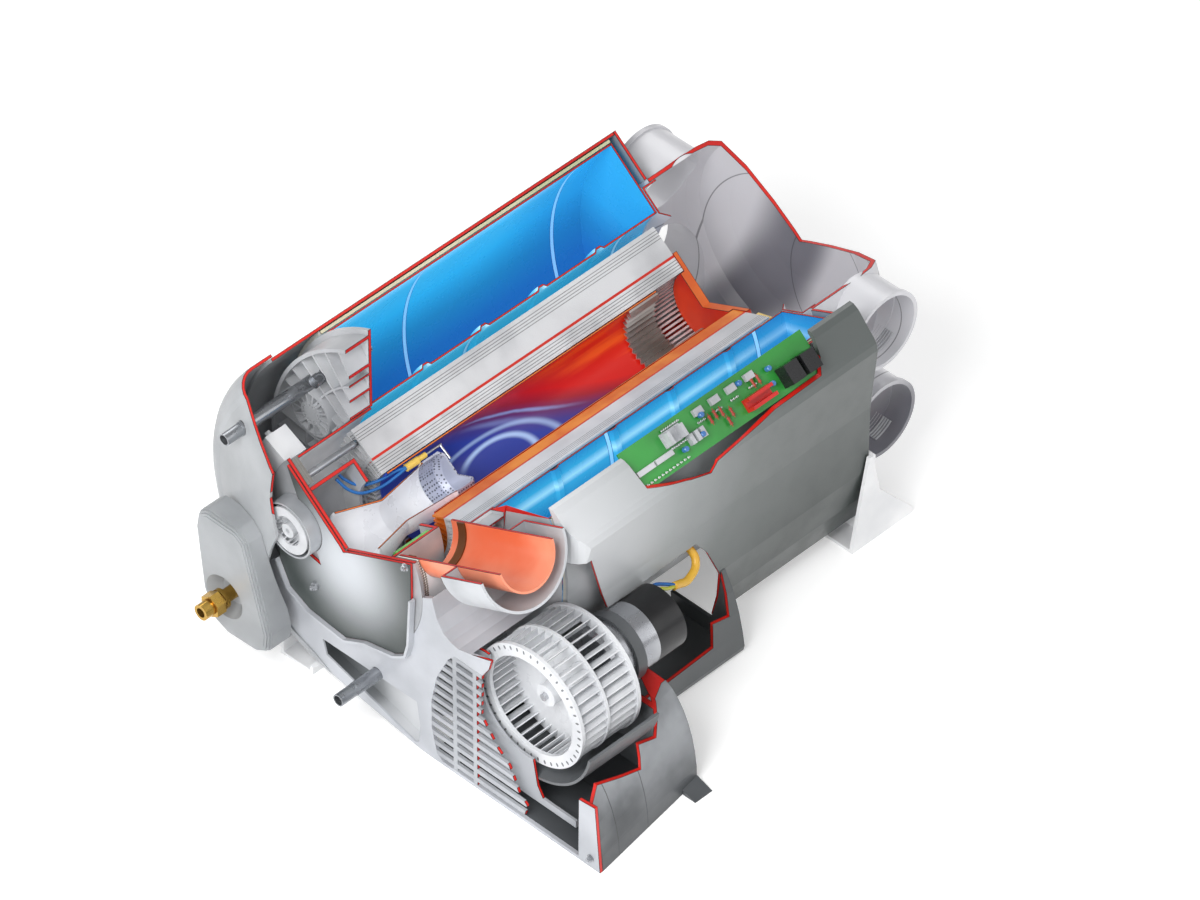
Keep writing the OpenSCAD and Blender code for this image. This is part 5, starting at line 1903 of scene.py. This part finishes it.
@dataclass(frozen=True)
class BoardFrame:
    """Places on the sloping circuit board, from its box.

    Attributes:
        corner: Front upper corner of the board's face.
        down: Direction down the slope.
        out: Direction out of the face.
        length: The board's length along the barrel.
        width: Its width down the slope.
        slope: The slope in degrees.
    """

    corner: Vector
    down: Vector
    out: Vector
    length: float
    width: float = 34 * MM
    slope: float = 42.0

    @classmethod
    def from_frame(cls) -> "BoardFrame":
        """Reads the board's corner from its box.

        Returns:
            The values read.
        """
        low, high = box("circuit_board")
        turn = math.radians(cls.slope)
        down = Vector((0, -math.cos(turn), -math.sin(turn)))
        out = Vector((0, -math.sin(turn), math.cos(turn)))
        corner = Vector((low.x, low.y + cls.width * math.cos(turn), high.z))
        return cls(corner, down, out, high.x - low.x)

    def spot(self, along: float, across: float, height: float, run: Vector = ALONG) -> Spot:
        """A place on the face.

        Args:
            along: Share of the board's length.
            across: Share of its width, from the upper edge.
            height: Height over the face.
            run: Direction of the shape's X.

        Returns:
            The place.
        """
        place = self.corner + Vector((along * self.length, 0, 0)) + self.down * (across * self.width)
        return Spot(place + self.out * height, self.out, run)


Shares = tuple[tuple[float, float], ...]


@dataclass
class Resistors:
    """Resistors that lie across the circuit board.

    Attributes:
        red: Their finish.
        places: Shares of the board's length and width for each.
        rise: Height of their middle over the board's corner.
        body: Radius of the body.
        end: Radius of its thick ends.
        lead: Radius of the lead.
        body_length: Length of the body.
        end_length: Length of an end.
        end_place: Distance of an end from the middle.
        lead_length: Length of the lead.
    """

    red: Finish = Finish("resistor_red", Surface.GLOSS, srgb(176, 66, 44), srgb(140, 44, 30), 0.35)
    places: Shares = (
        (0.43, 0.5), (0.46, 0.46), (0.49, 0.5), (0.53, 0.62), (0.5, 0.76), (0.68, 0.36), (0.71, 0.36))
    rise: float = 2.9 * MM
    body: float = 1.0 * MM
    end: float = 1.3 * MM
    lead: float = 0.35 * MM
    body_length: float = 6 * MM
    end_length: float = 1.4 * MM
    end_place: float = 2.3 * MM
    lead_length: float = 9.5 * MM

    def build(self, wardrobe: Wardrobe) -> None:
        """Makes all resistors.

        Args:
            wardrobe: The finishes.
        """
        board = BoardFrame.from_frame()
        tree = ShapeTree("board_resistors")
        thin, thick = tree.size("Body radius", self.body), tree.size("End radius", self.end)
        ends = [tree.drum(10, thick, self.end_length, side) for side in (-self.end_place, self.end_place)]
        body = tree.drum(10, thin, self.body_length)
        upright = tree.joined(body, tree.drum(6, self.lead, self.lead_length), *ends)
        spots = [board.spot(*place, self.rise, board.down) for place in self.places]
        tree.scatter(tree.moved(upright, Rotation=(0, math.pi / 2, 0)), spots, wardrobe.material(self.red),
                     ROOT, "fuse_red")


@dataclass
class Capacitors:
    """Round capacitors with a bevelled rim that stand on the circuit board.

    Attributes:
        blue: Their finish.
        places: Shares of the board's length and width for each.
        rise: Height of their middle over the board's corner.
        radius: Their radius.
        height: Their height.
        top: Radius of the rim's upper edge.
        rim: Height of the rim.
    """

    blue: Finish = Finish("capacitor_blue", Surface.GLOSS, srgb(70, 130, 190), srgb(44, 96, 160), 0.3,
                          coat=0.3)
    places: Shares = ((0.26, 0.72), (0.36, 0.66), (0.4, 0.3), (0.62, 0.2), (0.75, 0.62), (0.77, 0.3))
    rise: float = 3.8 * MM
    radius: float = 2.1 * MM
    height: float = 4.2 * MM
    top: float = 1.5 * MM
    rim: float = 0.6 * MM

    def build(self, wardrobe: Wardrobe) -> None:
        """Makes all capacitors.

        Args:
            wardrobe: The finishes.
        """
        board = BoardFrame.from_frame()
        tree = ShapeTree("board_capacitors")
        can = tree.drum(14, tree.size("Can radius", self.radius), tree.size("Can height", self.height))
        rim = tree.cone(14, self.radius, self.top, self.rim, self.height / 2)
        spots = [board.spot(*place, self.rise) for place in self.places]
        tree.scatter(tree.joined(can, rim), spots, wardrobe.material(self.blue), ROOT, "cable_blue")


@dataclass
class Pins:
    """Tinned pins of the circuit board, in rows, each on its solder.

    Attributes:
        tin: Their finish.
        header: Start, step and count of a long row along the board.
        header_widths: Shares of the board's width where such a row lies.
        edge: Start, step and count of the row at the lower edge.
        edge_width: Share of the board's width where it lies.
        groups: Where each group of three begins along the board.
        group: Places in a group from its beginning.
        group_width: Share of the board's width where the groups lie.
        rise: Height of a pin's middle over the board's corner.
        radius: A pin's radius.
        length: Its length.
        foot: Radius of the solder's lower and upper end, and its height.
    """

    tin: Finish = Finish("pin_tin", Surface.STEEL, srgb(220, 222, 224), srgb(180, 182, 186), 0.3, 0.7)
    header: tuple[float, float, int] = (0.22, 0.012, 8)
    header_widths: tuple[float, ...] = (0.12, 0.56)
    edge: tuple[float, float, int] = (0.04, 0.02, 12)
    edge_width: float = 0.9
    groups: tuple[float, ...] = (0.38, 0.47, 0.56, 0.66)
    group: tuple[float, ...] = (0, 0.015, 0.03)
    group_width: float = 0.42
    rise: float = 2.5 * MM
    radius: float = 0.5 * MM
    length: float = 1.8 * MM
    foot: tuple[float, float, float] = (1.0 * MM, 0.3 * MM, 0.8 * MM)

    def places(self) -> list[tuple[float, float]]:
        """Shares of the board's length and width for every pin.

        Returns:
            The shares, in the order of the pins.
        """
        start, step, count = self.header
        found = [(start + step * i, across) for across in self.header_widths for i in range(count)]
        start, step, count = self.edge
        found += [(start + step * i, self.edge_width) for i in range(count)]
        return found + [(along + more, self.group_width) for along in self.groups for more in self.group]

    def build(self, wardrobe: Wardrobe) -> None:
        """Makes all pins.

        Args:
            wardrobe: The finishes.
        """
        board = BoardFrame.from_frame()
        tree = ShapeTree("board_pins")
        pin = tree.drum(8, tree.size("Pin radius", self.radius), self.length)
        solder = tree.cone(8, *self.foot, -self.length / 2)
        spots = [board.spot(*place, self.rise) for place in self.places()]
        tree.scatter(tree.joined(pin, solder), spots, wardrobe.material(self.tin), ROOT, "board_parts_grey")


@dataclass(frozen=True)
class WirePlan:
    """One wire that is fixed at both ends.

    Attributes:
        name: The piece's name.
        finish: Its finish.
        slot: Name of a material slot, handed on to add_piece.
        radius: Its radius.
        route: Places that it passes, in millimetres from the end of the CAD node that it starts at.
    """

    name: str
    finish: Finish
    slot: str
    radius: float
    route: tuple[tuple[float, float, float], ...]

    def lay(self, start: Vector, wardrobe: Wardrobe) -> bpy.types.Object:
        """Makes the wire and gives its piece.

        Args:
            start: Where the route begins.
            wardrobe: The finishes.

        Returns:
            The wire's piece.
        """
        points = [start + Vector(step) * MM for step in self.route]
        mesh = smooth_tube(self.name, points, self.radius)
        return add_piece(self.name, mesh, wardrobe.material(self.finish), ROOT, self.slot)


YELLOW = Finish("cable_yellow", Surface.GLOSS, srgb(236, 190, 70), srgb(214, 160, 50), 0.4)
BLUE = Finish("cable_blue", Surface.GLOSS, srgb(40, 110, 180), srgb(26, 80, 150), 0.4)
GREEN = Finish("cable_green", Surface.GLOSS, srgb(120, 170, 60), srgb(210, 190, 60), 0.4)


@dataclass
class Wires:
    """Motor cable with its two thin wires, the ignition leads and the rod through the neck.

    Attributes:
        motor: The motor's sheath first, then its thin wires.
        ignition: The two leads of the electrode.
        steel: The rod's finish.
        rod_side: Place of the rod beside the barrel's axis.
        rod_rise: Its height over the axis.
        rod_radius: Its radius.
        rod_start: How far behind the burner cup's front it starts.
        rod_stop: How far in front of the exchanger it ends.
    """

    motor: tuple[WirePlan, ...] = (
        WirePlan("motor_cable_sheath", YELLOW, "sensor_yellow", 3.2 * MM, (
            (20, 2, -3), (28, 3.5, -7), (37, 5, -11), (49, 9, -10.5), (54, 13, -6), (54, 17, -1),
            (51, 24, 8), (46, 30, 18))),
        WirePlan("motor_wire_blue", BLUE, "cable_blue", 1.4 * MM, (
            (-1, 6, 6), (5, 6, 6), (13, 4.5, 2), (22, 2, -3))),
        WirePlan("motor_wire_green", GREEN, "cable_blue", 1.4 * MM, (
            (-1, 1, 5), (5, 1, 5), (13, 1, 0), (22, 2, -4))))
    ignition: tuple[WirePlan, ...] = (
        WirePlan("ignition_lead_1", BLUE, "cable_blue", 1.2 * MM, (
            (1, 0, 0), (-8, 0, -1.5), (-22, 3, -6), (-36, 9, -7), (-44, 15, -2), (-50, 21, 8))),
        WirePlan("ignition_lead_2", BLUE, "cable_blue", 1.2 * MM, (
            (1, 0, 0), (-8, 2, 1), (-22, 6, -2), (-34, 13, -3), (-42, 20, 3), (-46, 25, 10))))
    steel: Finish = FASTENER_STEEL
    rod_side: float = 50 * MM
    rod_rise: float = 34 * MM
    rod_radius: float = 2.8 * MM
    rod_start: float = 1 * MM
    rod_stop: float = 0.5 * MM

    def build(self, wardrobe: Wardrobe) -> None:
        """Lays the wires and the rod, and replaces the two CAD nodes that stand for cables.

        Args:
            wardrobe: The finishes.
        """
        sheath, *_ = [plan.lay(front_of("motor_cable"), wardrobe) for plan in self.motor]
        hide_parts("motor_cable")
        self.build_rod(wardrobe)
        end = front_of("ignition_cable")
        end.x = box("electrode_insulator")[0].x
        lead, _ = [plan.lay(end, wardrobe) for plan in self.ignition]
        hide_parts("ignition_cable")

    def build_rod(self, wardrobe: Wardrobe) -> None:
        """Makes the steel rod that passes through the neck in front of the exchanger.

        Args:
            wardrobe: The finishes.
        """
        barrel = Barrel.from_frame()
        start, stop = box("burner_cup")[0].x, box("heat_exchanger")[0].x
        points = [Vector((x, barrel.axis_y + self.rod_side, barrel.axis_z + self.rod_rise))
                  for x in (start + self.rod_start, (start + stop) / 2, stop - self.rod_stop)]
        mesh = smooth_tube("neck_rod", points, self.rod_radius, 16)
        add_piece("neck_rod", mesh, wardrobe.material(self.steel), ROOT, "bright_steel")


@dataclass(frozen=True)
class Lamp:
    """One soft square lamp.

    Attributes:
        name: Its name.
        place: Where it stands.
        side: Its side.
        power: Its power in watts.
    """

    name: str
    place: tuple[float, float, float]
    side: float
    power: float


@dataclass
class Studio:
    """Floor, lamps, world and the camera at the photograph's angle.

    Attributes:
        azimuth: The camera's azimuth in degrees.
        elevation: Its elevation in degrees.
        target: The place that it looks at.
        frame_width: Width that the picture shows at the target.
        lens: Its focal length in millimetres.
        sensor: Its sensor's width in millimetres.
        sight: How far it sees.
        world_light: Strength of the world's light on the object.
        floor_size: Half the floor's side.
        floor_grey: The floor's colour.
        floor_glow: How much the floor is brightened where it is seen.
        lamps: The lamps.
    """

    azimuth: float = -45.5
    elevation: float = 42.4
    target: tuple[float, float, float] = (-0.004, -0.0012, 0.150)
    frame_width: float = 0.876
    lens: float = 300.0
    sensor: float = 36.0
    sight: float = 100.0
    world_light: float = 0.42
    floor_size: float = 12.0
    floor_grey: float = 0.86
    floor_glow: float = 0.32
    lamps: tuple[Lamp, ...] = (
        Lamp("key", (-1.5, -0.5, 1.7), 1.0, 34), Lamp("front", (-2.0, -0.9, 0.5), 1.2, 16),
        Lamp("fill", (0.5, -1.8, 1.2), 1.6, 10), Lamp("rim", (1.2, 1.4, 1.6), 1.2, 12))

    def aim(self, name: str, data: bpy.types.ID, place: Vector) -> bpy.types.Object:
        """Adds a camera or a lamp that looks at the object.

        Args:
            name: The object's name.
            data: The camera or the light.
            place: Where it stands.

        Returns:
            The object.
        """
        made = bpy.data.objects.new(name, data)
        made.location = place
        made.rotation_mode = "QUATERNION"
        made.rotation_quaternion = (Vector(self.target) - place).to_track_quat("-Z", "Y")
        bpy.context.scene.collection.objects.link(made)
        return made

    def build_camera(self) -> None:
        """Makes the camera and frames the photograph's width."""
        data = bpy.data.cameras.new("photo_camera")
        data.lens = self.lens
        data.sensor_width = self.sensor
        data.clip_end = self.sight
        turn, rise = math.radians(self.azimuth), math.radians(self.elevation)
        back = Vector((math.sin(turn) * math.cos(rise), -math.cos(turn) * math.cos(rise), math.sin(rise)))
        place = Vector(self.target) + back * (self.frame_width * self.lens / self.sensor)
        bpy.context.scene.camera = self.aim("photo_camera", data, place)

    def build_floor(self) -> None:
        """Makes the pale floor, which shows white to the camera and keeps the shadow."""
        mesh = bmesh.new()
        bmesh.ops.create_grid(mesh, x_segments=1, y_segments=1, size=self.floor_size)
        made = bpy.data.meshes.new("floor")
        mesh.to_mesh(made)
        mesh.free()
        floor = bpy.data.objects.new("floor", made)
        bpy.context.scene.collection.objects.link(floor)
        tree = MaterialTree("floor_white")
        path = tree.node("ShaderNodeLightPath", {}, {}).outputs
        seen = Wire(tree, path["Is Camera Ray"]) + Wire(tree, path["Is Glossy Ray"])
        seen = (seen + Wire(tree, path["Is Transmission Ray"])).maths("MINIMUM", 1.0)
        tree.shade({"Base Color": (self.floor_grey,) * 3, "Roughness": 0.9, "Specular IOR Level": 0.0,
                    "Emission Color": (1, 1, 1), "Emission Strength": seen * self.floor_glow})
        made.materials.append(tree.material)

    def build_lamps(self) -> None:
        """Makes every lamp."""
        for lamp in self.lamps:
            data = bpy.data.lights.new(lamp.name, "AREA")
            data.size = lamp.side
            data.energy = lamp.power
            self.aim(lamp.name, data, Vector(lamp.place))

    def build_world(self) -> None:
        """Lights the scene softly from all round and shows white behind it."""
        world = bpy.data.worlds.new("studio")
        bpy.context.scene.world = world
        world.use_nodes = True
        world.node_tree.nodes.clear()
        tree = NodeBuilder(world.node_tree)
        seen = tree.node("ShaderNodeLightPath", {}, {}).outputs["Is Camera Ray"]
        level = tree.node("ShaderNodeMapRange", {},
                          {"Value": seen, "To Min": self.world_light, "To Max": 1.0}).outputs["Result"]
        sky = tree.node("ShaderNodeBackground", {}, {"Color": (1, 1, 1), "Strength": level})
        tree.node("ShaderNodeOutputWorld", {}, {"Surface": sky.outputs[0]})

    def build(self) -> None:
        """Makes the whole studio."""
        self.build_camera()
        self.build_floor()
        self.build_world()
        self.build_lamps()
        bpy.context.scene.view_settings.view_transform = "Standard"


def main() -> None:
    """Builds and dresses the heater and sets up the studio."""
    logging.basicConfig(level=logging.INFO, format="%(name)s: %(message)s")
    Studio().build()
    wardrobe = Wardrobe()
    for group in (Casing(), Tank(), Exchanger(), Burner(), Flue(), Blower(), Electronics(), Outlets(),
                  SawnWalls(), Fasteners(), WheelMarks(), DuctRibs(), Resistors(), Capacitors(), Pins(),
                  Wires()):
        group.build(wardrobe)


if __name__ == "__main__":
    main()
